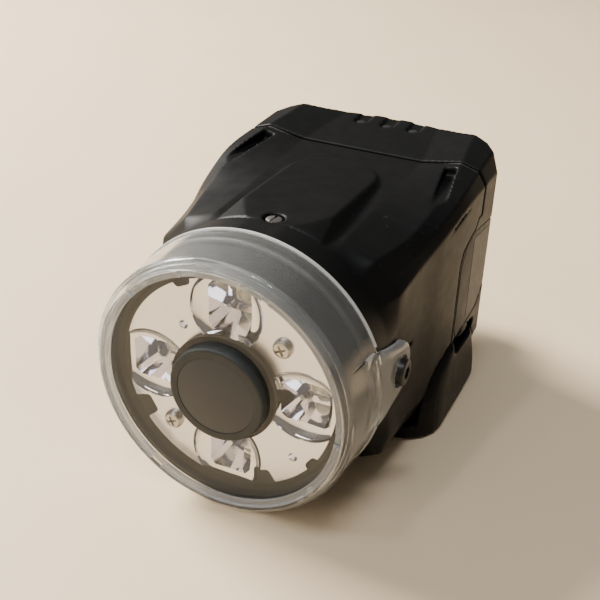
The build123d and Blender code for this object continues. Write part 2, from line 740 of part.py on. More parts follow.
def power_capacitors():
    back = POWER_BOARD_Y + BOARD_T
    return group([disc(3.2, back, back + 7.0, x, 8.0) for x in (-14.0, -5.0, 5.0)])


def power_choke():
    back = POWER_BOARD_Y + BOARD_T
    return block(10.0, 18.0, back, back + 4.5, 2.0, 10.0)


def board_posts():
    seat = MAIN_BOARD_Y + BOARD_T
    stud = disc(2.2, seat, POWER_BOARD_Y) + disc(M3_TAP_R, 42.0, seat)
    return group([Pos(x, 0, z) * stud for x, z in board_places()])


def board_screws():
    back = POWER_BOARD_Y + BOARD_T
    screw = disc(2.2, back, back + 1.5) + disc(M3_TAP_R, POWER_BOARD_Y, back)
    return group([Pos(x, 0, z) * screw for x, z in board_places()])


def flat_cable():
    """Folded ribbon from the sensor board to the main board."""
    thick = 0.3
    fold_y, high, low = 46.2, -10.0, -14.0
    under = [(41.6, high), (fold_y, high), (fold_y, low), (MAIN_BOARD_Y, low)]
    over = [(MAIN_BOARD_Y, low + thick), (fold_y + thick, low + thick)]
    over += [(fold_y + thick, high + thick), (41.6, high + thick)]
    return side_plate(under + over, -6.0, 6.0)


# ---- rear connectors, indicators and case screws --------------------------------------------
def connector_shell(x):
    """Round threaded shell with a flange against the rear panel."""
    flange_end = PANEL_Y + 2.0
    solid = disc(TAIL_R, 90.0, PANEL_Y, x, CONNECTOR_Z)
    solid += disc(8.0, PANEL_Y, flange_end, x, CONNECTOR_Z)
    solid += disc(NECK_R, flange_end, THREAD_Y, x, CONNECTOR_Z)
    solid += disc(THREAD_R, THREAD_Y, CONNECTOR_END, x, CONNECTOR_Z)
    for number in range(5):
        y = THREAD_Y + 0.8 + number * 1.0
        solid -= tube(THREAD_R + 1, THREAD_R - 0.35, y, y + 0.4, x, CONNECTOR_Z)
    return solid - disc(INSERT_R, 89.0, 110.0, x, CONNECTOR_Z)


def connector_insert(x):
    return disc(INSERT_R, 90.0, INSERT_FACE, x, CONNECTOR_Z)


def connector_nut(x):
    """Hexagon nut inside the rear wall."""
    hexagon = facing_back(x, 93.0, CONNECTOR_Z) * RegularPolygon(8.2, 6)
    return extrude(hexagon, amount=2.2, dir=(0, 1, 0)) - disc(TAIL_R, 90, 100, x, CONNECTOR_Z)


def contact_ring(x, count, ring_r, pin_r):
    pins = []
    for number in range(count):
        turn = 2 * math.pi * number / count
        place = (x + ring_r * math.cos(turn), CONNECTOR_Z + ring_r * math.sin(turn))
        pins.append(disc(pin_r, INSERT_FACE, PIN_END, *place))
    return group(pins)


def connector_seals():
    ring = tube(7.6, NECK_R, PANEL_Y + 2.0, THREAD_Y, 0, CONNECTOR_Z)
    return group([Pos(x, 0, 0) * ring for x in (CONNECTOR_X, -CONNECTOR_X)])


def indicator_lenses():
    light_pipe = post(INDICATOR_R - 0.03, 25.0, INDICATOR_Z + 0.25, 0, INDICATOR_Y)
    return group([Pos(x, 0, 0) * light_pipe for x in INDICATOR_X])


def indicator_board():
    return block(-9.6, 9.6, 84.0, 94.2, 21.6, 22.8)


def indicator_chips():
    chip = block(-1.0, 1.0, INDICATOR_Y - 1.0, INDICATOR_Y + 1.0, 22.8, 23.8)
    return group([Pos(x, 0, 0) * chip for x in INDICATOR_X])


def case_screws():
    """Long socket-head screws that pull the rear cover onto the front housing."""
    head_end = CASE_SCREW_SEAT + 2.6
    screw = disc(M3_R, 65.0, CASE_SCREW_SEAT) + disc(2.8, CASE_SCREW_SEAT, head_end)
    socket = facing_back(0, CASE_SCREW_SEAT + 1.2, 0) * RegularPolygon(1.5, 6)
    screw -= extrude(socket, amount=5, dir=(0, 1, 0))
    return group([Pos(x, 0, z) * screw for x, z in CASE_SCREWS])


# ---- write one file for each sub-part -------------------------------------------------------
PARTS = {
    "front_cover": front_cover, "front_window": front_window, "window_retainer": window_retainer,
    "cover_seal": cover_seal, "cover_screws": cover_screws, "light_bezel": light_bezel,
    "reflector": reflector, "reflector_screws": reflector_screws, "light_board": light_board,
    "light_emitters": light_emitters, "lens_hood": lens_hood, "lens_window": lens_window,
    "hood_seal": hood_seal, "front_housing": front_housing, "rear_cover": rear_cover,
    "housing_gasket": housing_gasket, "label_plate": label_plate, "mounting_base": mounting_base,
    "mount_inserts": mount_inserts, "base_screws": base_screws, "focus_adjuster": focus_adjuster,
    "focus_pinion": focus_pinion, "adjuster_clip": adjuster_clip, "adjuster_bush": adjuster_bush,
    "lens_carriage": lens_carriage, "front_lens": front_lens, "rear_lens": rear_lens,
    "lens_spacer": lens_spacer, "lens_lock_ring": lens_lock_ring, "guide_rods": guide_rods,
    "lens_frame": lens_frame, "sensor_board": sensor_board, "image_sensor": image_sensor,
    "sensor_posts": sensor_posts, "main_board": main_board, "processor": processor,
    "heat_spreader": heat_spreader, "memory_chips": memory_chips, "power_board": power_board,
    "power_capacitors": power_capacitors, "power_choke": power_choke, "board_posts": board_posts,
    "board_screws": board_screws, "flat_cable": flat_cable,
    "power_connector": lambda: connector_shell(CONNECTOR_X),
    "power_insert": lambda: connector_insert(CONNECTOR_X),
    "power_pins": lambda: contact_ring(CONNECTOR_X, 8, 2.7, 0.4),
    "power_nut": lambda: connector_nut(CONNECTOR_X),
    "network_connector": lambda: connector_shell(-CONNECTOR_X),
    "network_insert": lambda: connector_insert(-CONNECTOR_X),
    "network_pins": lambda: contact_ring(-CONNECTOR_X, 4, 2.4, 0.5),
    "network_nut": lambda: connector_nut(-CONNECTOR_X),
    "connector_seals": connector_seals, "indicator_lenses": indicator_lenses,
    "indicator_board": indicator_board, "indicator_chips": indicator_chips, "case_screws": case_screws,
}


def main():
    os.makedirs("parts", exist_ok=True)
    for name, make in PARTS.items():
        solid = Pos(0, -MID_DEPTH, AXIS_HEIGHT) * make()
        export_step(solid, f"parts/{name}.step")


main()
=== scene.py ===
import json
import math

import bmesh
import bpy
from mathutils import Matrix, Vector


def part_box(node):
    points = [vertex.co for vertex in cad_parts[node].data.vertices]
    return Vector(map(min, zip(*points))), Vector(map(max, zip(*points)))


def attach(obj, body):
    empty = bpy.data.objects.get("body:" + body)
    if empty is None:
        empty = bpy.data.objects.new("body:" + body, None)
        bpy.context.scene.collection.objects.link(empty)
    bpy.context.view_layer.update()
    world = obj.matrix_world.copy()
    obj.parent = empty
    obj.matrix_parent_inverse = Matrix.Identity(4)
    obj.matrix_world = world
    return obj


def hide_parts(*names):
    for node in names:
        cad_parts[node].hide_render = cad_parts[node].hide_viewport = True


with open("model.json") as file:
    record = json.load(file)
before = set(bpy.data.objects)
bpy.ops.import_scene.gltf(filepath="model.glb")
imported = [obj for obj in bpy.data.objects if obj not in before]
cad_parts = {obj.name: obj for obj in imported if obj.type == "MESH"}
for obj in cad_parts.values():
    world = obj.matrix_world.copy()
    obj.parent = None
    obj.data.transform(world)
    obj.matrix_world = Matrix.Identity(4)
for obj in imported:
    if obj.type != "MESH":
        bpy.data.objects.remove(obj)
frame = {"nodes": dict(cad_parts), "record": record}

# A compact black vision sensor head standing on a pale surface. Shapes are drawn in
# millimetres about the optical axis (X right, Y depth behind the front edge, Z up from the
# axis) and are moved into the frame, in metres, when each piece is finished.

# ---- dimensions, in millimetres -------------------------------------------------------------
MM = 0.001
HOOD_FRONT, HOOD_R, HOOD_BORE = -2.0, 11.3, 8.9
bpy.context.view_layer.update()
HOOD_LOW, HOOD_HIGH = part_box("lens_hood")
ORIGIN = Vector((0.0, HOOD_LOW.y - HOOD_FRONT * MM, (HOOD_LOW.z + HOOD_HIGH.z) / 2))
FLOOR_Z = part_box("mounting_base")[0].z
BODY = "body"

# clear cover: the round wall, its ears, and the pane in front
COVER_FRONT_R, COVER_REAR_R, COVER_LIP_R = 31.0, 31.7, 32.0
COVER_DEPTH, COVER_WALL, COVER_MOUTH_R = 14.0, 1.45, 28.9
EAR_START, EAR_Y, EAR_Z, EAR_R, EAR_HOLE_R = 8.2, 24.3, 0.8, 6.8, 3.9
EAR_IN, EAR_OUT, EAR_FLOOR, EAR_ROUND = 29.95, 32.0, 0.6, 1.1
PANE_FRONT, PANE_BACK, PANE_R = -0.3, 1.2, 28.85

# ring light: the mirrored plate with its cups, and the bezel round it
PLATE_R, PLATE_FRONT, PLATE_BACK = 25.2, 3.0, 5.0
CUPS, CUP_R, CUP_DEPTH, CUP_THROAT = 4, 18.2, 9.4, 2.6
CUP_HALF_WIDE, CUP_HALF_TALL, CUP_CASE = 6.3, 5.4, 6.4
PAN_SCREW_R, PAN_SCREW_ANGLES = 18.8, (45, 225)
BEZEL_OUT, BEZEL_IN, BEZEL_BORE = 28.9, 28.2, 12.2

# black housing
COLLAR_R, COLLAR_END, SECTION_START, SECTION_END, SIDE_FRONT = 31.0, 21.0, 27.2, 101.0, 29.7
LOFT_STEP, SHELL_WALL, GAP = 0.7, 2.6, 0.25
FLOOR_OF_BODY = -28.0
FLOOR_CHAMFER = ((6.5, 0.0), (1.6, 2.6), (0.0, 7.5))
PARTING = (75.0, 76.0)
SPINE_HALF, SPINE_FRONT, SPINE_END, SPINE_TOP, SPINE_FALL = 13.9, 22.5, 69.0, 30.7, 1.3
ADJUSTER_Y = 24.7
CHEEK_CUT, CHEEK_IN, CHEEK_OUT = 31.0, 31.3, 42.0
LABEL_SEAT, LABEL_FACE = 32.75, 33.25
INDICATORS = (-7.5, 0.0, 7.5)
INDICATOR_Y, INDICATOR_Z = 93.4, 29.2
CONNECTOR_X, CONNECTOR_Z = 10.5, -8.0
CASE_BORE_X, CASE_BORE_Z, CASE_BORE_R = 25.5, (21.0, -20.5), 3.1

# mounting base
BASE_BOTTOM, BASE_CORNER, BASE_INNER, BASE_SPAN = -32.0, 10.0, 31.1, (30, 99)
INSERT_X, INSERT_Y, INSERT_R = 25.0, (53.0, 79.0), 2.5
FOOT_SCREW_X, FOOT_SCREW_Y, FOOT_SCREW_R = 18.0, (49.5, 83.0), 3.0

VOXEL = 0.3

# depth, half width, top of side face, outer shoulder, ridge, edge of the hollow by the spine
SECTIONS = [
    (SECTION_START, 29.75, 18.2, (26.4, 21.8), (23.4, 24.9), (15.6, 27.6)),
    (40.0, 30.5, 20.1, (29.0, 22.6), (26.2, 25.3), (15.6, 27.8)),
    (50.0, 32.1, 23.0, (30.6, 25.4), (27.3, 27.3), (15.8, 28.2)),
    (62.0, 33.2, 25.6, (31.6, 28.2), (27.6, 29.4), (16.0, 28.6)),
    (75.5, 33.35, 25.8, (31.2, 29.3), (26.7, 30.7), (16.2, 28.9)),
    (91.0, 33.4, 25.4, (31.0, 29.8), (24.8, 31.7), (14.0, 29.8)),
    (SECTION_END, 33.4, 24.8, (31.0, 29.6), (24.8, 31.6), (13.0, 29.9)),
]


# ---- mesh helpers ---------------------------------------------------------------------------
def new_object(name, verts, faces):
    mesh = bpy.data.meshes.new(name)
    mesh.from_pydata(verts, [], faces)
    made = bpy.data.objects.new(name, mesh)
    bpy.context.scene.collection.objects.link(made)
    outward(made)
    return made


def outward(obj):
    """Merges doubled points and turns every face outward."""
    bm = bmesh.new()
    bm.from_mesh(obj.data)
    bmesh.ops.remove_doubles(bm, verts=bm.verts, dist=1e-5)
    bmesh.ops.recalc_face_normals(bm, faces=bm.faces)
    bm.to_mesh(obj.data)
    bm.free()


def ease(t):
    """Smooth step from 0 to 1."""
    return t * t * (3 - 2 * t)


def soften(points, radius, steps=5):
    """Rounds each corner of a closed outline; radius is one number or one per corner."""
    made = []
    for i, p in enumerate(points):
        r = radius[i] if isinstance(radius, list) else radius
        here = Vector(p)
        if r <= 0:
            made.append(tuple(here))
            continue
        before, after = Vector(points[i - 1]) - here, Vector(points[(i + 1) % len(points)]) - here
        run = min(r, 0.48 * before.length, 0.48 * after.length)
        start, end = here + before.normalized() * run, here + after.normalized() * run
        for k in range(steps + 1):
            t = k / steps
            made.append(tuple(start * (1 - t) ** 2 + here * 2 * t * (1 - t) + end * t ** 2))
    return made


def lathe(name, profile, segments=192):
    """A closed ring from a (radius, depth) profile turned about the optical axis."""
    verts, faces = [], []
    count = len(profile)
    for k in range(segments):
        a = 2 * math.pi * k / segments
        verts += [(r * math.cos(a), y, r * math.sin(a)) for r, y in profile]
    for k in range(segments):
        n = (k + 1) % segments
        for i in range(count):
            j = (i + 1) % count
            faces.append((k * count + i, k * count + j, n * count + j, n * count + i))
    made = new_object(name, verts, faces)
    drop_slivers(made)
    return made


def drop_slivers(obj):
    """Removes the faces without area that a profile leaves where it meets the axis."""
    bm = bmesh.new()
    bm.from_mesh(obj.data)
    bmesh.ops.remove_doubles(bm, verts=bm.verts, dist=1e-5)
    bmesh.ops.dissolve_degenerate(bm, dist=1e-5, edges=bm.edges)
    bm.to_mesh(obj.data)
    bm.free()


def skin(name, rings):
    """A loft through equal rings of points, closed at both ends."""
    count = len(rings[0])
    verts = [p for ring in rings for p in ring]
    faces = []
    for k in range(len(rings) - 1):
        for i in range(count):
            j = (i + 1) % count
            faces.append((k * count + i, k * count + j, (k + 1) * count + j, (k + 1) * count + i))
    faces.append(tuple(range(count)))
    faces.append(tuple((len(rings) - 1) * count + i for i in range(count)))
    return new_object(name, verts, faces)


def prism(name, outline, low, high, axis="x"):
    """An outline pushed along an axis. The outline is (y, z) for x, (x, z) for y, (x, y) for z."""
    def at(p, v):
        return {"x": (v, p[0], p[1]), "y": (p[0], v, p[1]), "z": (p[0], p[1], v)}[axis]
    return skin(name, [[at(p, low) for p in outline], [at(p, high) for p in outline]])


def box(name, x, y, z):
    return prism(name, [(x[0], y[0]), (x[1], y[0]), (x[1], y[1]), (x[0], y[1])], z[0], z[1], "z")


def circle(radius, centre=(0.0, 0.0), count=48):
    turns = [2 * math.pi * k / count for k in range(count)]
    return [(centre[0] + radius * math.cos(a), centre[1] + radius * math.sin(a)) for a in turns]


def modify(obj, kind, **values):
    """Adds one modifier and applies it."""
    modifier = obj.modifiers.new(kind.lower(), kind)
    for key, value in values.items():
        setattr(modifier, key, value)
    graph = bpy.context.evaluated_depsgraph_get()
    mesh = bpy.data.meshes.new_from_object(obj.evaluated_get(graph))
    obj.modifiers.clear()
    obj.data = mesh


def combine(obj, tools, operation):
    """Boolean with each tool in turn; the tools are used up."""
    for tool in tools:
        modify(obj, "BOOLEAN", operation=operation, solver="MANIFOLD", object=tool)
        bpy.data.objects.remove(tool)
    return obj


def cut(obj, *tools):
    return combine(obj, tools, "DIFFERENCE")


def join(obj, *tools):
    return combine(obj, tools, "UNION")


def keep(obj, *tools):
    return combine(obj, tools, "INTERSECT")


def place(obj, x, y, z):
    obj.data.transform(Matrix.Translation((x, y, z)))
    return obj


def turned(obj, degrees):
    """Turned about the optical axis."""
    obj.data.transform(Matrix.Rotation(-math.radians(degrees), 4, "Y"))
    return obj


def mirrored(make):
    """A shape and its mirror image across X = 0; make is called once for each."""
    left = make()
    left.data.transform(Matrix.Scale(-1, 4, (1, 0, 0)))
    outward(left)
    return [make(), left]


def moulded(obj):
    """Softens every edge as a moulding has it: an even remesh, a little smoothing, fewer faces."""
    modify(obj, "REMESH", mode="VOXEL", voxel_size=VOXEL, adaptivity=0.0)
    modify(obj, "SMOOTH", factor=0.5, iterations=8)
    modify(obj, "DECIMATE", decimate_type="COLLAPSE", ratio=0.3)
    modify(obj, "SMOOTH", factor=0.5, iterations=3)
    return obj


def shade(obj, sharp):
    """Smooth shading with sharp edges above an angle in degrees."""
    bm = bmesh.new()
    bm.from_mesh(obj.data)
    limit = math.radians(sharp)
    for face in bm.faces:
        face.smooth = True
    for edge in bm.edges:
        edge.smooth = len(edge.link_faces) == 2 and edge.calc_face_angle(0.0) < limit
    bm.to_mesh(obj.data)
    bm.free()


def finish_piece(obj, name, slot, replaced, body=BODY, sharp=30.0, finish=None):
    """Names a piece, puts it in the frame and ties it to its body, slot and CAD node."""
    obj.name = name
    obj.data.transform(Matrix.Translation(ORIGIN) @ Matrix.Scale(MM, 4))
    shade(obj, sharp)
    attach(obj, body)
    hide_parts(replaced)
    obj.data.materials.clear()
    obj.data.materials.append(finish or MATERIALS[slot])


# ---- materials ------------------------------------------------------------------------------
class Nodes:
    """Small help for building one material's node tree."""

    def __init__(self, name):
        self.material = bpy.data.materials.new(name)
        self.material.use_nodes = True
        self.tree = self.material.node_tree
        self.shader = self.tree.nodes["Principled BSDF"]
        self.output = self.tree.nodes["Material Output"]
        self.place = self.tree.nodes.new("ShaderNodeTexCoord").outputs["Object"]

    def add(self, kind, inputs=(), **values):
        node = self.tree.nodes.new(kind)
        for key, value in values.items():
            setattr(node, key, value)
        for key, value in dict(inputs).items():
            self.feed(node, key, value)
        return node

    def feed(self, node, key, value):
        if isinstance(value, bpy.types.NodeSocket):
            self.tree.links.new(value, node.inputs[key])
        else:
            node.inputs[key].default_value = value

    def noise(self, size_mm, detail):
        scale = 1 / (size_mm * MM)
        node = self.add("ShaderNodeTexNoise",
                        {"Vector": self.place, "Scale": scale, "Detail": detail})
        return node.outputs["Fac"]

    def span(self, value, low, high, start=0.3, end=0.7):
        """Maps start..end of a value to low..high; noise lies mostly between 0.3 and 0.7."""
        node = self.add("ShaderNodeMapRange", {"Value": value, "From Min": start, "From Max": end,
                                               "To Min": low, "To Max": high})
        return node.outputs[0]

    def colours(self, value, first, second):
        """Mixes two colours; each is three numbers or a socket."""
        node = self.add("ShaderNodeMix", {"Factor": value}, data_type="RGBA")
        for index, colour in ((6, first), (7, second)):
            socket = isinstance(colour, bpy.types.NodeSocket)
            self.feed(node, index, colour if socket else (*colour, 1))
        return node.outputs[2]

    def edges(self, low, high, start, end):
        """A value that rises from low to high where the surface is sharply convex."""
        point = self.add("ShaderNodeNewGeometry").outputs["Pointiness"]
        return self.span(point, low, high, start, end)

    def bump(self, height, depth_mm):
        node = self.add("ShaderNodeBump", {"Height": height, "Distance": depth_mm * MM})
        self.feed(self.shader, "Normal", node.outputs[0])


def surface(name, dark, light, rough, metal=0.0, grain=0.3, depth=0.003, patch=9.0, **extra):
    """A solid finish: two close colours in soft patches, grain in the bump, uneven gloss."""
    made = Nodes(name)
    patches = made.noise(patch, 4.0)
    made.feed(made.shader, "Base Color", made.colours(made.span(patches, 0.0, 1.0), dark, light))
    made.feed(made.shader, "Roughness", made.span(made.noise(patch * 0.4, 5.0), *rough))
    made.feed(made.shader, "Metallic", metal)
    made.bump(made.noise(grain, 2.0), depth)
    for key, value in extra.items():
        made.feed(made.shader, key.replace("_", " "), value)
    return made


def plastic_with_edge_highlight(name, dark, light, edge, rough, grain, depth):
    """Moulded plastic with fine grain; its paler colour on sharply convex edges is a painted highlight."""
    made = surface(name, dark, light, rough, grain=grain, depth=depth, Specular_IOR_Level=0.16)
    base = made.shader.inputs["Base Color"].links[0].from_socket
    # painted highlight: sharply convex edges are mixed toward the paler edge colour
    painted_edge_highlight = made.edges(0.0, 1.0, 0.55, 0.64)
    made.feed(made.shader, "Base Color", made.colours(painted_edge_highlight, base, edge))
    return made


def clear_plastic(name, colour, rough, haze, edge_highlight_haze, haze_and_highlight_colour):
    """Clear moulded plastic that lamps shine through, with some pale diffuse haze; more of it on sharply
    convex edges is a painted highlight, so the edges look paler.
    """
    made = Nodes(name)
    made.feed(made.shader, "Base Color", (*colour, 1))
    made.feed(made.shader, "Transmission Weight", 1.0)
    made.feed(made.shader, "IOR", 1.49)
    made.feed(made.shader, "Roughness", made.span(made.noise(3.0, 4.0), *rough))
    made.bump(made.noise(2.2, 3.0), 0.012)
    # painted highlight: the pale diffuse share rises from the haze level to a higher level on sharply
    # convex edges
    haze_and_edge_highlight = made.edges(haze, edge_highlight_haze, 0.51, 0.57)
    haze_and_highlight_diffuse = made.add("ShaderNodeBsdfDiffuse", {"Color": (*haze_and_highlight_colour, 1)})
    glass_with_haze_and_highlight = made.add("ShaderNodeMixShader", {0: haze_and_edge_highlight, 1: made.shader.outputs[0], 2: haze_and_highlight_diffuse.outputs[0]})
    clear = made.add("ShaderNodeBsdfTransparent", {"Color": (0.93, 0.93, 0.91, 1)})
    ray = made.add("ShaderNodeLightPath").outputs["Is Shadow Ray"]
    mixed = made.add("ShaderNodeMixShader", {0: ray, 1: glass_with_haze_and_highlight.outputs[0], 2: clear.outputs[0]})
    made.feed(made.output, "Surface", mixed.outputs[0])
    return made


def mirror_finish(name, dark, light, pad, cup):
    """Metallised moulding: the flat pads scatter softly and the curved cups are bright mirrors."""
    made = surface(name, dark, light, cup, metal=1.0, grain=3.5, depth=0.012)
    normal = made.add("ShaderNodeTexCoord").outputs["Normal"]
    facing_front = made.add("ShaderNodeSeparateXYZ", {0: normal}).outputs["Y"]
    flat = made.span(facing_front, 1.0, 0.0, -0.999, -0.985)
    polished = made.shader.inputs["Roughness"].links[0].from_socket
    rough = made.add("ShaderNodeMix", {0: flat, 2: polished, 3: pad}, data_type="FLOAT")
    made.feed(made.shader, "Roughness", rough.outputs[0])
    return made


def thin_window(name, tint, roughness):
    """A clear pane seen straight through; it mirrors more where it is seen at a slant."""
    made = Nodes(name)
    clear = made.add("ShaderNodeBsdfTransparent", {"Color": (*tint, 1)})
    facing = made.add("ShaderNodeLayerWeight", {"Blend": 0.5}).outputs["Facing"]
    slant = made.add("ShaderNodeMath", {0: facing, 1: 5.0}, operation="POWER").outputs[0]
    edge = made.span(slant, 0.03, 0.9, 0.0, 1.0)
    glossy = made.add("ShaderNodeBsdfGlossy", {"Roughness": roughness})
    mixed = made.add("ShaderNodeMixShader", {0: edge, 1: clear.outputs[0], 2: glossy.outputs[0]})
    made.feed(made.output, "Surface", mixed.outputs[0])
    return made


# two close colours and a range of roughness, then what else is particular to the finish
SOLID_FINISHES = {
    "bezel_grey": dict(dark=(0.051, 0.054, 0.056), light=(0.057, 0.060, 0.062), rough=(0.44, 0.54),
                       depth=0.0015, Specular_IOR_Level=0.3),
    "bright_steel": dict(dark=(0.52, 0.50, 0.48), light=(0.62, 0.60, 0.57), rough=(0.22, 0.36),
                         metal=1.0, grain=0.25),
    "black_steel": dict(dark=(0.018, 0.018, 0.018), light=(0.03, 0.029, 0.028), rough=(0.30, 0.45),
                        metal=0.6, grain=0.2),
    "hood_grey": dict(dark=(0.030, 0.034, 0.034), light=(0.035, 0.039, 0.039), rough=(0.50, 0.60),
                      grain=0.25, depth=0.006, Specular_IOR_Level=0.3),
    "window_dark": dict(dark=(0.045, 0.047, 0.050), light=(0.048, 0.050, 0.053), rough=(0.44, 0.52),
                        grain=2.0, depth=0.001, Specular_IOR_Level=0.3),
    "rubber_black": dict(dark=(0.012, 0.012, 0.012), light=(0.02, 0.02, 0.02), rough=(0.62, 0.75),
                         depth=0.01),
    "brass_plain": dict(dark=(0.62, 0.44, 0.18), light=(0.72, 0.53, 0.25), rough=(0.22, 0.36),
                        metal=1.0),
    "aluminium_plain": dict(dark=(0.70, 0.70, 0.71), light=(0.78, 0.78, 0.79), rough=(0.28, 0.42),
                            metal=1.0),
    "anodised_black": dict(dark=(0.025, 0.025, 0.028), light=(0.04, 0.04, 0.044), rough=(0.34, 0.46),
                           metal=0.8),
    "board_green": dict(dark=(0.012, 0.10, 0.045), light=(0.02, 0.13, 0.06), rough=(0.28, 0.42),
                        grain=0.8, depth=0.006),
    "chip_black": dict(dark=(0.02, 0.02, 0.022), light=(0.032, 0.032, 0.034), rough=(0.42, 0.55),
                       grain=0.15),
    "emitter_yellow": dict(dark=(0.80, 0.78, 0.62), light=(0.90, 0.89, 0.76), rough=(0.12, 0.22),
                           grain=1.2, depth=0.002, Coat_Weight=0.8),
    "label_grey": dict(dark=(0.046, 0.044, 0.041), light=(0.056, 0.053, 0.050), rough=(0.44, 0.54),
                       grain=0.8, depth=0.002, patch=5.0, Specular_IOR_Level=0.2),
    "indicator_clear": dict(dark=(0.014, 0.015, 0.015), light=(0.022, 0.024, 0.024),
                            rough=(0.08, 0.12), grain=0.8, depth=0.004, Coat_Weight=0.5),
    "nickel": dict(dark=(0.52, 0.50, 0.46), light=(0.62, 0.60, 0.56), rough=(0.20, 0.32),
                   metal=1.0, grain=0.25),
    "insert_black": dict(dark=(0.018, 0.018, 0.018), light=(0.03, 0.03, 0.03), rough=(0.42, 0.55),
                         depth=0.006),
    "contact_gold": dict(dark=(0.80, 0.58, 0.22), light=(0.88, 0.66, 0.28), rough=(0.16, 0.26),
                         metal=1.0, depth=0.002),
    "ribbon_amber": dict(dark=(0.42, 0.19, 0.03), light=(0.52, 0.25, 0.05), rough=(0.22, 0.34),
                         grain=1.0),
}


def housing_black(name):
    # the edge colour is a painted highlight along convex edges
    return plastic_with_edge_highlight(name, dark=(0.0026, 0.0026, 0.0027), light=(0.0034, 0.0034, 0.0034),
                        edge=(0.011, 0.0108, 0.0106), rough=(0.43, 0.50), grain=0.35, depth=0.008)


def mirror_plate(name):
    return mirror_finish(name, dark=(0.84, 0.84, 0.91), light=(0.88, 0.88, 0.945), pad=0.26,
                         cup=(0.03, 0.07))


def clear_cover(name):
    return clear_plastic(name, colour=(0.88, 0.88, 0.86), rough=(0.07, 0.12), haze=0.085, edge_highlight_haze=0.7,
                         haze_and_highlight_colour=(0.38, 0.375, 0.365))


def optical_glass(name):
    return thin_window(name, tint=(0.92, 0.95, 0.94), roughness=0.02)


def build_materials():
    special = {"housing_black": housing_black, "mirror_plate": mirror_plate,
               "clear_cover": clear_cover, "optical_glass": optical_glass}
    made = {slot: surface(slot, **look) for slot, look in SOLID_FINISHES.items()}
    made.update({slot: make(slot) for slot, make in special.items()})
    return {slot: nodes.material for slot, nodes in made.items()}


MATERIALS = build_materials()

# variants within a slot
PANE = thin_window("pane_clear", (0.96, 0.96, 0.945), 0.03).material
# the rim's pale frosted finish is a painted highlight along the cover's rear edge
RIM_PAINTED_HIGHLIGHT = clear_plastic("rim_painted_highlight", colour=(0.94, 0.94, 0.93), rough=(0.10, 0.16), haze=0.5, edge_highlight_haze=0.8,
                    haze_and_highlight_colour=(0.62, 0.62, 0.61)).material
RETAINER = clear_plastic("retainer_clear", colour=(0.90, 0.91, 0.92), rough=(0.05, 0.10), haze=0.36,
                         edge_highlight_haze=0.7, haze_and_highlight_colour=(0.44, 0.45, 0.46)).material
INLAY = surface("label_inlay", (0.10, 0.098, 0.094), (0.135, 0.132, 0.127), (0.50, 0.60), grain=0.6,
                depth=0.002, patch=2.5, Specular_IOR_Level=0.25).material


# ---- black housing --------------------------------------------------------------------------
def blend_rows(y):
    """The section at a depth, smoothly between the rows given."""
    last = len(SECTIONS) - 1
    k = max(i for i in range(last) if SECTIONS[i][0] <= y or i == 0)
    width = SECTIONS[k + 1][0] - SECTIONS[k][0]
    t = (y - SECTIONS[k][0]) / width

    def flat(row):
        return [row[1], row[2], *row[3], *row[4], *row[5]]

    def slope(i):
        a, b = SECTIONS[max(i - 1, 0)], SECTIONS[min(i + 1, last)]
        return [(q - p) / (b[0] - a[0]) for p, q in zip(flat(a), flat(b))]

    p, q, mp, mq = flat(SECTIONS[k]), flat(SECTIONS[k + 1]), slope(k), slope(k + 1)
    h = (2 * t ** 3 - 3 * t ** 2 + 1, t ** 3 - 2 * t ** 2 + t, -2 * t ** 3 + 3 * t ** 2, t ** 3 - t ** 2)
    return [h[0] * a + h[1] * width * ma + h[2] * b + h[3] * width * mb
            for a, b, ma, mb in zip(p, q, mp, mq)]


def body_ring(y, inset=0.0):
    """The section at a depth as a ring of points, drawn in from the outside by an inset."""
    half, top, ox, oz, rx, rz, hx, hz = blend_rows(y)
    right = [(half - x, FLOOR_OF_BODY + z) for x, z in FLOOR_CHAMFER]
    right += [(half, top), (ox, oz), (rx, rz), (hx, hz)]
    sx, sz = (half - inset) / half, (rz - inset) / rz
    ring = right + [(-x, z) for x, z in reversed(right)]
    return [(x * sx, y, z * sz) for x, z in ring]


def body_loft(name, start, end, inset=0.0):
    steps = round((end - start) / LOFT_STEP)
    return skin(name, [body_ring(start + (end - start) * k / steps, inset) for k in range(steps + 1)])


def reach(outline, angle):
    """Distance from the axis to a closed outline in one direction."""
    c, n = math.cos(angle), math.sin(angle)
    found = 0.0
    for (x, z), (xb, zb) in zip(outline, outline[1:] + outline[:1]):
        across = c * (zb - z) - n * (xb - x)
        if abs(across) > 1e-9 and 0 <= (x * n - z * c) / across <= 1:
            found = max(found, (x * (zb - z) - z * (xb - x)) / across)
    return found


def collar():
    """Round front of the body that spreads into the body's own section behind it."""
    outline = [(x, z) for x, y, z in body_ring(SECTION_START)]
    turns = [2 * math.pi * k / 240 for k in range(240)]
    far = [reach(outline, a) for a in turns]
    # depth, share of the body's section, change of radius
    rows = [(14.3, 0.0, -0.5), (14.45, 0.0, -0.15), (14.8, 0.0, 0.0), (COLLAR_END, 0.0, 0.0)]
    blends = 8
    for k in range(1, blends + 1):
        t = k / blends
        rows.append((COLLAR_END + (SECTION_START - COLLAR_END) * t, ease(t), 0.0))
    rows.append((30.0, 1.0, -0.3))
    rings = []
    for y, share, shift in rows:
        ring = []
        for a, body_r in zip(turns, far):
            r = (1 - share) * COLLAR_R + share * body_r + shift
            x = max(-SIDE_FRONT, min(SIDE_FRONT, r * math.cos(a)))
            ring.append((x, y, max(FLOOR_OF_BODY, min(SPINE_TOP, r * math.sin(a)))))
        rings.append(ring)
    return skin("collar", rings)


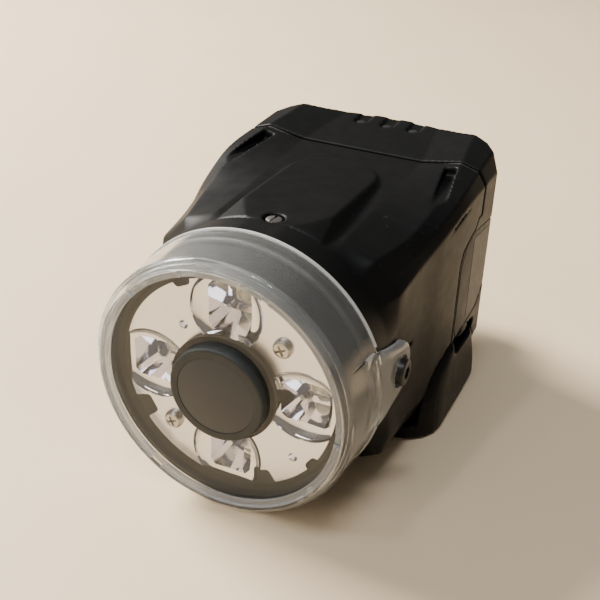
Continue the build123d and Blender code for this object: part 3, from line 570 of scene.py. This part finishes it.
def spine():
    """Tongue on top with sloping flanks and a top that falls to the rear, within a cone in front."""
    centre = SPINE_END - SPINE_HALF
    fall = SPINE_FALL / (SPINE_END - ADJUSTER_Y)
    bend = [math.pi * k / 24 for k in range(1, 24)]
    rings = []
    for rise, z in ((-4.0, 22.0), (0.0, 26.4), (1.2, 28.0), (3.1, 30.3), (3.7, SPINE_TOP)):
        half = SPINE_HALF - 0.8 * max(rise, 0)
        slope = fall if rise > 0 else 0.0
        plan = [(half, SPINE_FRONT), (half, centre)]
        plan += [(half * math.cos(a), centre + half * math.sin(a)) for a in bend]
        plan += [(-half, centre), (-half, SPINE_FRONT)]
        rings.append([(x, y, z - max(y - ADJUSTER_Y, 0) * slope) for x, y in plan])
    cone = [(COLLAR_R, 20.0), (COLLAR_R, 21.5), (32.9, 36.0), (45.0, 50.0), (60.0, 90.0)]
    limit = [[(x, y, z) for x, z in circle(radius, count=240)] for radius, y in cone]
    return keep(skin("spine", rings), skin("spine_limit", limit))


def crown():
    """What the rear cover keeps in plan: chamfered corners and a shallow arched back."""
    half, edge, rise, sweep = 19.0, 95.6, 4.0, 1.0
    arc = []
    for k in range(25):
        a = sweep - 2.0 * sweep * k / 24
        lift = (math.cos(a) - math.cos(sweep)) / (1 - math.cos(sweep))
        arc.append((half * math.sin(a) / math.sin(sweep), edge + rise * lift))
    corner = [(40, 60), (33.9, 85.5), (28.5, 92.2)]
    outline = [(-40, 0), (40, 0)] + corner + arc + [(-x, y) for x, y in reversed(corner)]
    return prism("crown", outline, -40, 40, "z")


def base_form(name, grow=0.0):
    """The mounting base: a foot with a rounded plan whose cheeks rise up the sides."""
    # height, half width, front, rear
    levels = [(BASE_BOTTOM, 34.7, 42.8, 87.4), (-31.3, 35.2, 42.2, 88.0), (-26.5, 35.0, 42.0, 87.6),
              (-24.0, 34.8, 42.4, 87.2), (-21.5, 34.6, 43.6, 86.4), (-19.0, 34.5, 46.0, 85.6),
              (-16.5, 34.4, 49.0, 84.0), (-14.2, 34.2, 53.0, 82.0), (-12.4, 33.9, 57.5, 79.6),
              (-11.2, 33.2, 61.0, 77.6)]
    radius = BASE_CORNER + grow
    rings = []
    for z, half, start, end in levels:
        side, front, rear = half - BASE_CORNER, start + BASE_CORNER, end - BASE_CORNER
        ring = []
        for x, y, first in ((side, rear, 0), (-side, rear, 90), (-side, front, 180), (side, front, 270)):
            for k in range(9):
                a = math.radians(first + 90 * k / 8)
                ring.append((x + radius * math.cos(a), y + radius * math.sin(a), z))
        rings.append(ring)
    return skin(name, rings)


def base_zone(name, gap=0.0):
    """The foot itself: the form less the room that the body takes over its floor."""
    inner = BASE_INNER - gap
    return cut(base_form(name, gap), box("over_floor", (-inner, inner), BASE_SPAN, (FLOOR_OF_BODY, 0)))


def scoop():
    """Shallow hollow in the side of the body round the foot's cheek."""
    return keep(base_form("scoop", 2.6), box("scoop_zone", (31.7, 60), BASE_SPAN, (-40, 0)))


def cheek_outline(grow=0.0):
    """Side view of the tabs with which the rear cover reaches over the front housing."""
    front, low, top, rear = 61.0 - grow, -14.5, 18.0 + grow, 80.0
    return [(front, low), (front, 9.5 + grow), (62.6 - grow, 13.2 + grow), (66.0, 14.8 + grow),
            (71.0, 16.0 + grow), (73.0, top), (rear, top), (rear, low)]


def side_slot():
    """Long slot low on each side, cut into the body, the rear cover and the foot's cheek."""
    outline = [(61.5, -14.9), (63.2, -12.4), (79.0, -13.6), (80.8, -15.4), (79.0, -16.8), (63.5, -16.4)]
    return prism("slot", soften(outline, 0.9), 30.6, 40)


def side_slit():
    """Small slit in each side behind the ear."""
    outline = [(33.4, 0.4), (36.6, 0.4), (36.6, 1.4), (33.4, 1.4)]
    return prism("slit", soften(outline, 0.4), 28.9, 40)


def shoulder_pocket():
    """Long pocket with a sloping floor that ends in a small wall."""
    side = [(49.0, 28.1), (70.5, 27.7), (72.3, 28.1), (73.6, 34.0), (49.0, 34.0)]
    middle, turn = 58.0, math.radians(9)
    tool = prism("pocket", side, -1.5, 1.5)
    tool.data.transform(Matrix.Translation((27.2, middle, 0)) @ Matrix.Rotation(turn, 4, "Z")
                        @ Matrix.Translation((0, -middle, 0)))
    return tool


def top_groove():
    """Slim lens-shaped groove along the top edge of the side face."""
    start, length, steps, below = 49.5, 16.5, 12, 1.4
    rings = []
    for k in range(steps + 1):
        t = k / steps
        y = start + length * t
        half, top = blend_rows(y)[:2]
        z = top - below
        open_by = 0.85 * math.sin(math.pi * t) ** 0.8 + 0.02
        rings.append([(half + 1, y, z - open_by), (half + 1, y, z + open_by), (half - 1.1, y, z)])
    return skin("groove", rings)


def indicator_notch(x):
    """Notch that is open to the rear, with a floor that rises behind the light."""
    front, near, rear, above = INDICATOR_Y - 2.0, 88.0, 104.0, 36.0
    plan = [(x - 1.75, front), (x + 1.75, front), (x + 2.1, rear), (x - 2.1, rear)]
    side = [(near, INDICATOR_Z - 0.15), (96.0, INDICATOR_Z - 0.1), (rear, 30.4), (rear, above),
            (near, above)]
    notch = prism("notch", soften(plan, [1.6, 1.6, 0, 0]), 20.0, above, "z")
    return keep(notch, prism("floor_line", side, -40.0, 40.0))


def connector_panel():
    """Shallow recess round the two connectors."""
    outline = [(-22, -18.5), (22, -18.5), (22, 2.5), (-22, 2.5)]
    return prism("panel", soften(outline, 3.0), 98.0, 110.0, "y")


def label_outline(margin):
    front, rear = 62.0 - margin, 86.2 + margin
    return [(front, -9.0), (front, 8.5), (65.0 - margin, 13.8 + margin), (71.5, 15.0 + margin),
            (rear, 12.8 + margin), (rear, -6.0 - margin), (80.5, -10.8 - margin), (64.0, -11.8 - margin)]


def front_housing():
    solid = body_loft("front_half", SECTION_START, PARTING[0])
    join(solid, collar(), spine())
    cut(solid, prism("cheek", cheek_outline(GAP), CHEEK_CUT, CHEEK_OUT), *mirrored(shoulder_pocket),
        *mirrored(side_slot), *mirrored(top_groove), base_zone("base_cut", GAP), *mirrored(scoop),
        prism("cheek_left", cheek_outline(GAP), -CHEEK_OUT, -CHEEK_CUT),
        box("rear_edge", (-60, 60), (PARTING[0], 120), (-60, 60)), *mirrored(side_slit),
        prism("adjuster_hole", circle(2.45, (0, ADJUSTER_Y), 40), 20, 40, "z"))
    return solid


def rear_cover():
    solid = body_loft("rear_half", PARTING[1], SECTION_END)
    for low, high in ((CHEEK_IN, CHEEK_OUT), (-CHEEK_OUT, -CHEEK_IN)):
        cheek = body_loft("cheek_body", 56.0, 80.0)
        join(solid, keep(cheek, prism("cheek_zone", cheek_outline(), low, high)))
    keep(solid, crown())
    cut(solid, *mirrored(side_slot), base_zone("base_cut", GAP))
    cut(solid, *[indicator_notch(x) for x in INDICATORS], connector_panel())
    for x in (CASE_BORE_X, -CASE_BORE_X):
        for z in CASE_BORE_Z:
            cut(solid, prism("bore", circle(CASE_BORE_R, (x, z), 40), 86.0, 110.0, "y"))
    return cut(solid, prism("label_cut", label_outline(0.2), LABEL_SEAT, 42.0))


def hollow(name):
    """The space inside, so that both halves are shells as in the frame."""
    inside = body_loft(name, SECTION_START, SECTION_END, SHELL_WALL)
    half, back, corner, corner_back = 31.2, 90.5, 27.0, 85.0
    plan = [(-half, 20.0), (half, 20.0), (half, corner_back), (corner, back), (-corner, back),
            (-half, corner_back)]
    return keep(inside, prism("inside_limit", plan, -24.6, 60.0, "z"))


def build_housing():
    front = moulded(front_housing())
    cut(front, hollow("front_space"), prism("hood_hole", circle(HOOD_R, count=96), 10, 40, "y"))
    finish_piece(front, "housing_front_shell", "housing_black", "front_housing", sharp=60)
    rear = moulded(rear_cover())
    cut(rear, hollow("rear_space"))
    finish_piece(rear, "housing_rear_shell", "housing_black", "rear_cover", sharp=60)


def build_base():
    base = moulded(cut(base_zone("base"), *mirrored(side_slot)))
    for half, depths, radius in ((INSERT_X, INSERT_Y, INSERT_R),
                                 (FOOT_SCREW_X, FOOT_SCREW_Y, FOOT_SCREW_R)):
        for x in (half, -half):
            for y in depths:
                cut(base, prism("foot_hole", circle(radius, (x, y), 32), -40, -20, "z"))
    finish_piece(base, "foot_shell", "housing_black", "mounting_base", sharp=60)


def build_label():
    """A plate set in the right side, with a plain paler inlay and no lettering."""
    plate = prism("label", soften(label_outline(0.0), 0.5, 3), LABEL_SEAT, LABEL_FACE)
    modify(plate, "BEVEL", width=0.12, segments=2, limit_method="ANGLE")
    finish_piece(plate, "side_label", "label_grey", "label_plate")
    outline = soften([(71.0, 13.2), (84.0, 11.6), (83.6, -8.4), (71.4, -10.0)], 0.5, 3)
    inlay = prism("inlay", outline, LABEL_FACE - 0.1, LABEL_FACE + 0.08)
    finish_piece(inlay, "side_label_inlay", "label_grey", "label_plate", finish=INLAY)


# ---- clear front cover ----------------------------------------------------------------------
def cover_profile():
    """Wall of the cover, with extra points near the ends of its long lines for even shading."""
    mouth, inner_front, inner_rear = COVER_MOUTH_R, COVER_FRONT_R - COVER_WALL, COVER_REAR_R - COVER_WALL
    corners = [(mouth, -1.6), (29.4, -1.6), (COVER_FRONT_R, 0.0), (COVER_REAR_R, COVER_DEPTH),
               (inner_rear, COVER_DEPTH), (inner_front, 1.6), (mouth, PANE_BACK)]
    rounded = soften(corners, [0.15, 0.35, 0.35, 0.45, 0.3, 0.3, 0.15], 4)
    made = []
    for p, q in zip(rounded, rounded[1:] + rounded[:1]):
        made.append(p)
        run = Vector(q) - Vector(p)
        if run.length > 4:
            made += [tuple(Vector(p) + run * t) for t in (0.05, 0.12, 0.88, 0.95)]
    return made


def level(points, y):
    """Height of an open line of (y, z) points at a depth."""
    for (ya, za), (yb, zb) in zip(points, points[1:]):
        if y <= yb:
            return za + (zb - za) * (y - ya) / (yb - ya)
    return points[-1][1]


def ear_surface():
    """Tab that grows out of the round wall and runs flat to a rounded end with soft edges."""
    upper = [(EAR_START, 12.0), (12.0, 11.9), (14.0, 11.3), (16.6, 10.1), (19.4, 9.1),
             (EAR_Y, EAR_Z + EAR_R)]
    lower = [(EAR_START, -7.6), (13.8, -7.2), (19.0, -6.4), (EAR_Y, EAR_Z - EAR_R)]
    across = [0.5 - 0.5 * math.cos(math.pi * k / 17) for k in range(18)]
    tip, flat_after = EAR_Y + EAR_R, 8.5
    rings = []
    for y in (EAR_START, 9.0, 10.0, 11.0, 12.0, 13.0, 14.0, 15.0, 16.0, 17.5, 19.4, 22.0, EAR_Y, 26.0,
              27.5, 28.7, 29.5, 30.1, 30.5, 30.8, 31.0, 31.07):
        past_hole = y > EAR_Y
        if past_hole:
            half = math.sqrt(max(EAR_R ** 2 - (y - EAR_Y) ** 2, 0.01))
            high, low = EAR_Z + half, EAR_Z - half
        else:
            high, low = level(upper, y), level(lower, y)
        wall = COVER_FRONT_R + min(y / COVER_DEPTH, 1.0) * (COVER_REAR_R - COVER_FRONT_R) + 0.03
        share = ease(min((y - EAR_START) / flat_after, 1.0))
        ring = []
        for s in across:
            z = high + (low - high) * s
            edge = min(high - z, z - low, tip - y if past_hole else EAR_ROUND)
            if past_hole:
                edge = min(edge, EAR_R - math.hypot(y - EAR_Y, z - EAR_Z))
            lack = EAR_ROUND - min(max(edge, 0.0), EAR_ROUND)
            x = (1 - share) * math.sqrt(wall ** 2 - z ** 2) + share * EAR_OUT
            ring.append((x - EAR_ROUND + math.sqrt(EAR_ROUND ** 2 - lack ** 2), y, z))
        rings.append(ring + [(EAR_IN, y, low), (EAR_IN, y, high)])
    return skin("ear", rings)


def ear():
    hole = prism("ear_hole", circle(EAR_HOLE_R, (EAR_Y, EAR_Z), 64), EAR_IN + EAR_FLOOR, 40)
    passage = prism("passage", circle(1.75, (EAR_Y, EAR_Z), 32), 20, 40)
    bore = prism("bore", circle(COVER_REAR_R - COVER_WALL, count=192), 0, COVER_DEPTH, "y")
    return cut(ear_surface(), bore, hole, passage)


def build_cover():
    ring = lathe("ring", cover_profile(), 240)
    join(ring, *mirrored(ear))
    finish_piece(ring, "clear_cover_ring", "clear_cover", "front_cover", sharp=35)


def ear_gap():
    return box("ear_gap", (20.0, 40.0), (10.0, 20.0), (-7.8, 12.4))


def build_rear_lip():
    """Bead round the cover's rear edge, left out where the ears pass; its pale frosted finish is a painted
    highlight along the rim.
    """
    top, inner = COVER_LIP_R, COVER_LIP_R - 0.5
    profile = [(inner, 13.4), (top - 0.2, 13.4), (top, 13.55), (top, 14.05), (inner, 14.05)]
    lip = lathe("lip", soften(profile, 0.1, 3), 240)
    cut(lip, *mirrored(ear_gap))
    finish_piece(lip, "cover_rear_lip", "clear_cover", "front_cover", sharp=35, finish=RIM_PAINTED_HIGHLIGHT)


def build_pane():
    hole = HOOD_R + 0.1
    profile = [(hole, PANE_FRONT), (PANE_R, PANE_FRONT), (PANE_R, PANE_BACK), (hole, PANE_BACK)]
    pane = lathe("pane", soften(profile, 0.2, 3))
    finish_piece(pane, "clear_pane", "clear_cover", "front_window", finish=PANE)


def build_retainer():
    """Stepped ring in front of the pane, with gaps of different widths."""
    profile = [(27.25, PANE_FRONT), (27.25, -0.95), (27.6, -1.1), (28.2, -1.1), (28.3, -1.5),
               (PANE_R, -1.5), (PANE_R, PANE_FRONT)]
    retainer = lathe("retainer", soften(profile, 0.12, 3), 240)
    for angle, width in ((67, 1.4), (77, 1.2), (104, 4.0), (137, 1.4), (236, 3.0), (355, 3.0)):
        cut(retainer, turned(box("gap", (26.5, 29.5), (-3, -0.5), (-width / 2, width / 2)), angle))
    finish_piece(retainer, "retaining_ring", "clear_cover", "window_retainer", finish=RETAINER)


# ---- ring light -----------------------------------------------------------------------------
def horn():
    """The inside of one mirrored cup: a faceted square horn with parabolic walls."""
    count, levels = 24, 6
    rings = []
    for k in range(levels + 1):
        s = 1 - k / levels
        depth = PLATE_FRONT - 0.01 + (1 - s) * CUP_DEPTH
        half_wide = CUP_THROAT + (CUP_HALF_WIDE - CUP_THROAT) * s ** 0.55
        half_tall = CUP_THROAT + (CUP_HALF_TALL - CUP_THROAT) * s ** 0.55
        ring = []
        for i in range(count):
            a = 2 * math.pi * (i + 0.5) / count
            c, n = math.cos(a), math.sin(a)
            size = (abs(c) ** 6 + abs(n) ** 6) ** (-1 / 6)
            ring.append((CUP_R + half_wide * size * c, depth, half_tall * size * n))
        rings.append(ring)
    rings.insert(0, [(x, PLATE_FRONT - 1.0, z) for x, y, z in rings[0]])
    return skin("horn", rings)


def leaf():
    """Shallow bowl wider than the horn, which leaves a curved wing on each side of it."""
    half_wide, half_tall, deep, steps = 9.2, 8.6, 2.3, 12
    rings = []
    for k in range(1, steps + 1):
        a = math.pi / 2 * k / steps
        oval = circle(math.sin(a), count=64)
        depth = PLATE_FRONT - 0.02 + deep * math.cos(a)
        rings.append([(CUP_R + half_wide * c, depth, half_tall * n) for c, n in oval])
    rings.append([(x, PLATE_FRONT - 1.0, z) for x, y, z in rings[-1]])
    return cut(skin("leaf", rings), prism("hub", circle(HOOD_R + 1.1, count=96), 0, 12, "y"))


def cup_case():
    """The tapering block behind the plate that one cup is sunk in."""
    levels = ((1.0, PLATE_FRONT + 0.3), (1.0, PLATE_BACK + 2.0), (0.56, PLATE_FRONT + CUP_DEPTH))
    rings = []
    for taper, depth in levels:
        tall = CUP_CASE * taper
        wide, inward = CUP_HALF_WIDE * taper, -6.6 * taper
        corners = ((wide, tall), (inward, tall), (inward, -tall), (wide, -tall))
        rings.append([(CUP_R + x, depth, z) for x, z in corners])
    return skin("cup_case", rings)


def plate_notch(width, deep):
    """Key notch in the rim of the plate that widens outward."""
    inner, outer, half = PLATE_R - deep, PLATE_R + 2, width / 2
    outline = [(inner, -half), (outer, -half - 1.2), (outer, half + 1.2), (inner, half)]
    return prism("notch", soften(outline, [0.8, 0, 0, 0.8]), 0, 20, "y")


def build_reflector():
    plate = prism("plate", circle(PLATE_R, count=160), PLATE_FRONT, PLATE_BACK, "y")
    for number in range(CUPS):
        join(plate, turned(cup_case(), 90 * number))
    rim = lathe("rim", [(PLATE_R, 0), (60, 0), (60, 20), (PLATE_R, 20)], 160)
    cut(plate, rim, prism("hood_gap", circle(HOOD_R + 0.12, count=96), 0, 30, "y"))
    for number in range(CUPS):
        cut(plate, turned(horn(), 90 * number), turned(leaf(), 90 * number))
    for angle, width, deep in ((115, 3.6, 1.3), (210, 4.4, 3.7), (292, 4.6, 3.4), (326, 3.2, 1.2)):
        cut(plate, turned(plate_notch(width, deep), angle))
    for angle in PAN_SCREW_ANGLES:
        cut(plate, turned(prism("screw_hole", circle(1.45, (PAN_SCREW_R, 0)), 0, 20, "y"), angle))
    for x, z in ((-10.3, 12.2), (16.2, -13.8)):
        profile = [(0.0, 4.2), (0.5, 4.1), (0.85, 3.4), (1.1, 2.9), (1.1, 2.0), (0.0, 2.0)]
        cut(plate, place(lathe("dimple", profile, 24), x, 0, z))
    modify(plate, "BEVEL", width=0.16, segments=2, limit_method="ANGLE", angle_limit=math.radians(50))
    finish_piece(plate, "mirror_cups", "mirror_plate", "reflector", sharp=11)


def build_bezel():
    """Grey face round the mirrored plate, and the black barrel that carries it."""
    profile = [(BEZEL_BORE, PLATE_BACK), (26.2, PLATE_BACK), (26.9, 4.4), (27.5, 1.3), (BEZEL_OUT, 1.3),
               (BEZEL_OUT, 2.3), (BEZEL_IN, 2.3), (BEZEL_IN, 6.4), (BEZEL_BORE, 6.4)]
    ring = lathe("bezel", soften(profile, [0, 0.6, 0.6, 0.2, 0.2, 0, 0, 0, 0], 4))
    for number in range(CUPS):
        cut(ring, turned(box("cup_gap", (11.2, 24.9), (3, 9), (-6.6, 6.6)), 90 * number))
    finish_piece(ring, "bezel_ring", "bezel_grey", "light_bezel")
    neck = BEZEL_IN + 0.05
    profile = [(neck, 2.35), (BEZEL_OUT, 2.35), (BEZEL_OUT, 14.2), (27.6, 14.2), (27.6, 6.5), (neck, 6.5)]
    barrel = lathe("barrel", soften(profile, [0, 0.15, 0.2, 0.2, 0, 0], 3))
    finish_piece(barrel, "bezel_barrel", "housing_black", "light_bezel")


def pan_screw():
    """Screw with a rounded head and a cross recess."""
    profile = [(0.0, 1.5), (1.0, 1.52), (1.7, 1.72), (2.1, 2.15), (2.25, 2.7), (2.25, PLATE_FRONT),
               (1.2, PLATE_FRONT), (1.2, 14.0), (0.0, 14.0)]
    head = lathe("pan", profile, 48)
    arm = soften([(-1.25, -0.27), (1.25, -0.27), (1.25, 0.27), (-1.25, 0.27)], 0.12, 2)
    for turn in (-20, -110):
        cut(head, turned(prism("cross", arm, 0.5, 2.5, "y"), turn))
    return place(head, PAN_SCREW_R, 0, 0)


def build_pan_screws():
    made = [turned(pan_screw(), angle) for angle in PAN_SCREW_ANGLES]
    join(*made)
    finish_piece(made[0], "reflector_pan_screws", "bright_steel", "reflector_screws", sharp=25)


def build_emitters():
    """A pale package with a clear dome in each throat."""
    chip_half, dome_r, dome_front, dome_back = 1.9, 1.55, 10.4, 11.75
    arc = [math.pi / 2 * k / 8 for k in range(1, 9)]
    round_part = [(dome_r * math.sin(a), dome_back - (dome_back - dome_front) * math.cos(a)) for a in arc]
    made = []
    for number in range(CUPS):
        near, far = CUP_R - chip_half, CUP_R + chip_half
        outline = [(near, -chip_half), (far, -chip_half), (far, chip_half), (near, chip_half)]
        chip = prism("chip", soften(outline, 0.3, 3), 11.7, 12.6, "y")
        dome = lathe("dome", [(0, dome_front), *round_part, (0, dome_back)], 40)
        made.append(turned(join(chip, place(dome, CUP_R, 0, 0)), 90 * number))
    join(*made)
    finish_piece(made[0], "light_emitter_domes", "emitter_yellow", "light_emitters")


def build_hood():
    """Grey tube round the lens with a dark disc set in its front."""
    seat = HOOD_BORE + 0.35
    profile = [(HOOD_BORE, -0.5), (seat, -0.5), (seat, -1.94), (9.4, HOOD_FRONT), (HOOD_R, HOOD_FRONT),
               (HOOD_R, 17.2), (HOOD_BORE, 17.2)]
    hood = lathe("hood", soften(profile, [0, 0, 0.04, 0.08, 0.8, 0, 0], 6), 160)
    finish_piece(hood, "lens_hood_shell", "hood_grey", "lens_hood")
    profile = [(0.0, -1.93), (9.05, -1.93), (9.2, -1.88), (9.24, -1.75), (9.24, -0.45), (0.0, -0.45)]
    finish_piece(lathe("disc", profile, 128), "lens_window_disc", "window_dark", "lens_window")


# ---- other fittings -------------------------------------------------------------------------
def ear_screw():
    top, seat = 33.4, EAR_IN + EAR_FLOOR
    profile = [(0.0, top), (2.5, top), (2.9, top - 0.12), (3.1, top - 0.4), (3.1, seat), (1.5, seat),
               (1.5, 25.0), (0.0, 25.0)]
    made = lathe("ear_screw", profile, 56)
    made.data.transform(Matrix.Rotation(-math.pi / 2, 4, "Z"))
    outward(made)
    cut(made, prism("socket", circle(1.6, count=6), top - 1.7, 40))
    return place(made, 0, EAR_Y, EAR_Z)


def build_ear_screws():
    """Socket-head screws that stand proud of the ears."""
    pair = mirrored(ear_screw)
    join(*pair)
    finish_piece(pair[0], "ear_screws", "black_steel", "cover_screws", sharp=25)


def upright(name, profile, segments):
    """A turned shape that stands along Z."""
    made = lathe(name, profile, segments)
    made.data.transform(Matrix.Rotation(math.pi / 2, 4, "X"))
    return made


def build_adjuster():
    low = 28.2
    profile = [(0.0, 9.8), (1.2, 9.8), (1.2, low), (1.9, low), (1.9, 29.8), (1.75, 30.25), (1.35, 30.4),
               (0.0, 30.4)]
    made = upright("adjuster", profile, 48)
    cut(made, box("slot", (-0.32, 0.32), (-3, 3), (29.5, 40)))
    place(made, 0, ADJUSTER_Y, 0)
    outward(made)
    finish_piece(made, "focus_adjuster_screw", "bright_steel", "focus_adjuster", body="adjuster", sharp=25)


def build_indicators():
    profile = [(0.0, 25.0), (1.27, 25.0), (1.27, 29.1), (1.15, 29.35), (0.8, 29.5), (0.0, 29.55)]
    made = []
    for x in INDICATORS:
        lens = place(upright("lens", profile, 40), x, INDICATOR_Y, 0)
        outward(lens)
        made.append(lens)
    join(*made)
    finish_piece(made[0], "indicator_light_pipes", "indicator_clear", "indicator_lenses")


def build_connector(x, name, node):
    """Threaded round shell: a flange, a neck and a thread of 1 mm pitch drawn as rings."""
    inner, neck, thread_start, turns = 4.7, 5.9, 101.2, 6
    profile = [(inner, 90.0), (neck, 90.0), (neck, 98.0), (8.0, 98.0), (8.0, 99.6), (7.7, 100.0),
               (5.6, 100.0), (5.6, thread_start)]
    for k in range(turns):
        y = thread_start + k
        profile += [(6.0, y + 0.25), (6.0, y + 0.45), (5.62, y + 0.75), (5.62, y + 0.95)]
    profile += [(neck, 107.3), (5.7, 107.5), (4.9, 107.5), (inner, 107.3)]
    shell = place(lathe("connector", profile, 96), x, 0, CONNECTOR_Z)
    key = box("key", (x - 0.5, x + 0.5), (99.5, 106.5), (CONNECTOR_Z + 4.1, CONNECTOR_Z + 4.9))
    finish_piece(join(shell, key), name, "nickel", node, sharp=25)


def finish_cad_nodes():
    """Gives every CAD node the material of its slot."""
    for part in frame["record"]["subparts"]:
        node = frame["nodes"][part["node"]]
        node.data.materials.clear()
        node.data.materials.append(MATERIALS[part["material_slot"]])


# ---- floor, light and camera, in metres -----------------------------------------------------
def build_floor():
    mesh = bpy.data.meshes.new("floor")
    size = 3.0
    corners = [(-size, -size), (size, -size), (size, size), (-size, size)]
    mesh.from_pydata([(x, y, FLOOR_Z) for x, y in corners], [], [(0, 1, 2, 3)])
    floor = bpy.data.objects.new("floor", mesh)
    bpy.context.scene.collection.objects.link(floor)
    made = surface("floor", (0.87, 0.67, 0.435), (0.90, 0.70, 0.465), (0.50, 0.56), grain=1.5, depth=0.004,
                   patch=60.0)
    mesh.materials.append(made.material)


def area_light(name, where, size, power, colour):
    """A rectangular lamp that points at the middle of the object."""
    data = bpy.data.lights.new(name, "AREA")
    data.shape = "RECTANGLE"
    data.size, data.size_y = size
    data.energy = power
    data.color = colour
    lamp = bpy.data.objects.new(name, data)
    bpy.context.scene.collection.objects.link(lamp)
    middle = Vector((0.0, 0.0, 0.03))
    lamp.location = where
    lamp.rotation_mode = "QUATERNION"
    lamp.rotation_quaternion = (middle - Vector(where)).to_track_quat("-Z", "Y")


def build_light():
    """Warm light from the left, with weak cooler lamps above for the highlights."""
    world = bpy.data.worlds.new("studio")
    world.use_nodes = True
    back = world.node_tree.nodes["Background"]
    back.inputs["Color"].default_value = (1.0, 0.96, 0.91, 1)
    back.inputs["Strength"].default_value = 0.16
    bpy.context.scene.world = world
    area_light("key", (-0.75, 0.14, 0.62), (0.34, 0.30), 27.0, (1.0, 0.965, 0.91))
    area_light("fill", (-0.30, -0.85, 0.75), (0.50, 0.40), 2.5, (1.0, 0.95, 0.90))
    area_light("lamp", (-0.26, -0.28, 0.92), (0.07, 0.05), 1.1, (0.90, 0.95, 1.0))
    area_light("top", (0.10, -0.16, 0.95), (0.34, 0.07), 3.2, (0.88, 0.94, 1.0))


def build_camera():
    """Close view from the front right, above, turned a little about its own axis."""
    azimuth, elevation, roll = math.radians(24.136), math.radians(29.805), math.radians(2.031)
    back = Vector((math.sin(azimuth) * math.cos(elevation), -math.cos(azimuth) * math.cos(elevation),
                   math.sin(elevation)))
    across = Vector((math.cos(azimuth), math.sin(azimuth), 0))
    up = across.cross(-back)
    right = math.cos(roll) * across + math.sin(roll) * up
    above = -math.sin(roll) * across + math.cos(roll) * up
    data = bpy.data.cameras.new("camera")
    data.sensor_width = 36.0
    data.lens = 61.23
    data.clip_start, data.clip_end = 0.01, 20.0
    camera = bpy.data.objects.new("camera", data)
    bpy.context.scene.collection.objects.link(camera)
    turn = Matrix((right, above, back)).transposed().to_4x4()
    camera.matrix_world = Matrix.Translation((0.08778, -0.20861, 0.15720)) @ turn
    bpy.context.scene.camera = camera


build_housing()
build_base()
build_label()
build_cover()
build_rear_lip()
build_pane()
build_retainer()
build_bezel()
build_reflector()
build_pan_screws()
build_emitters()
build_hood()
build_ear_screws()
build_adjuster()
build_indicators()
build_connector(CONNECTOR_X, "power_connector_shell", "power_connector")
build_connector(-CONNECTOR_X, "network_connector_shell", "network_connector")
finish_cad_nodes()
build_floor()
build_light()
build_camera()
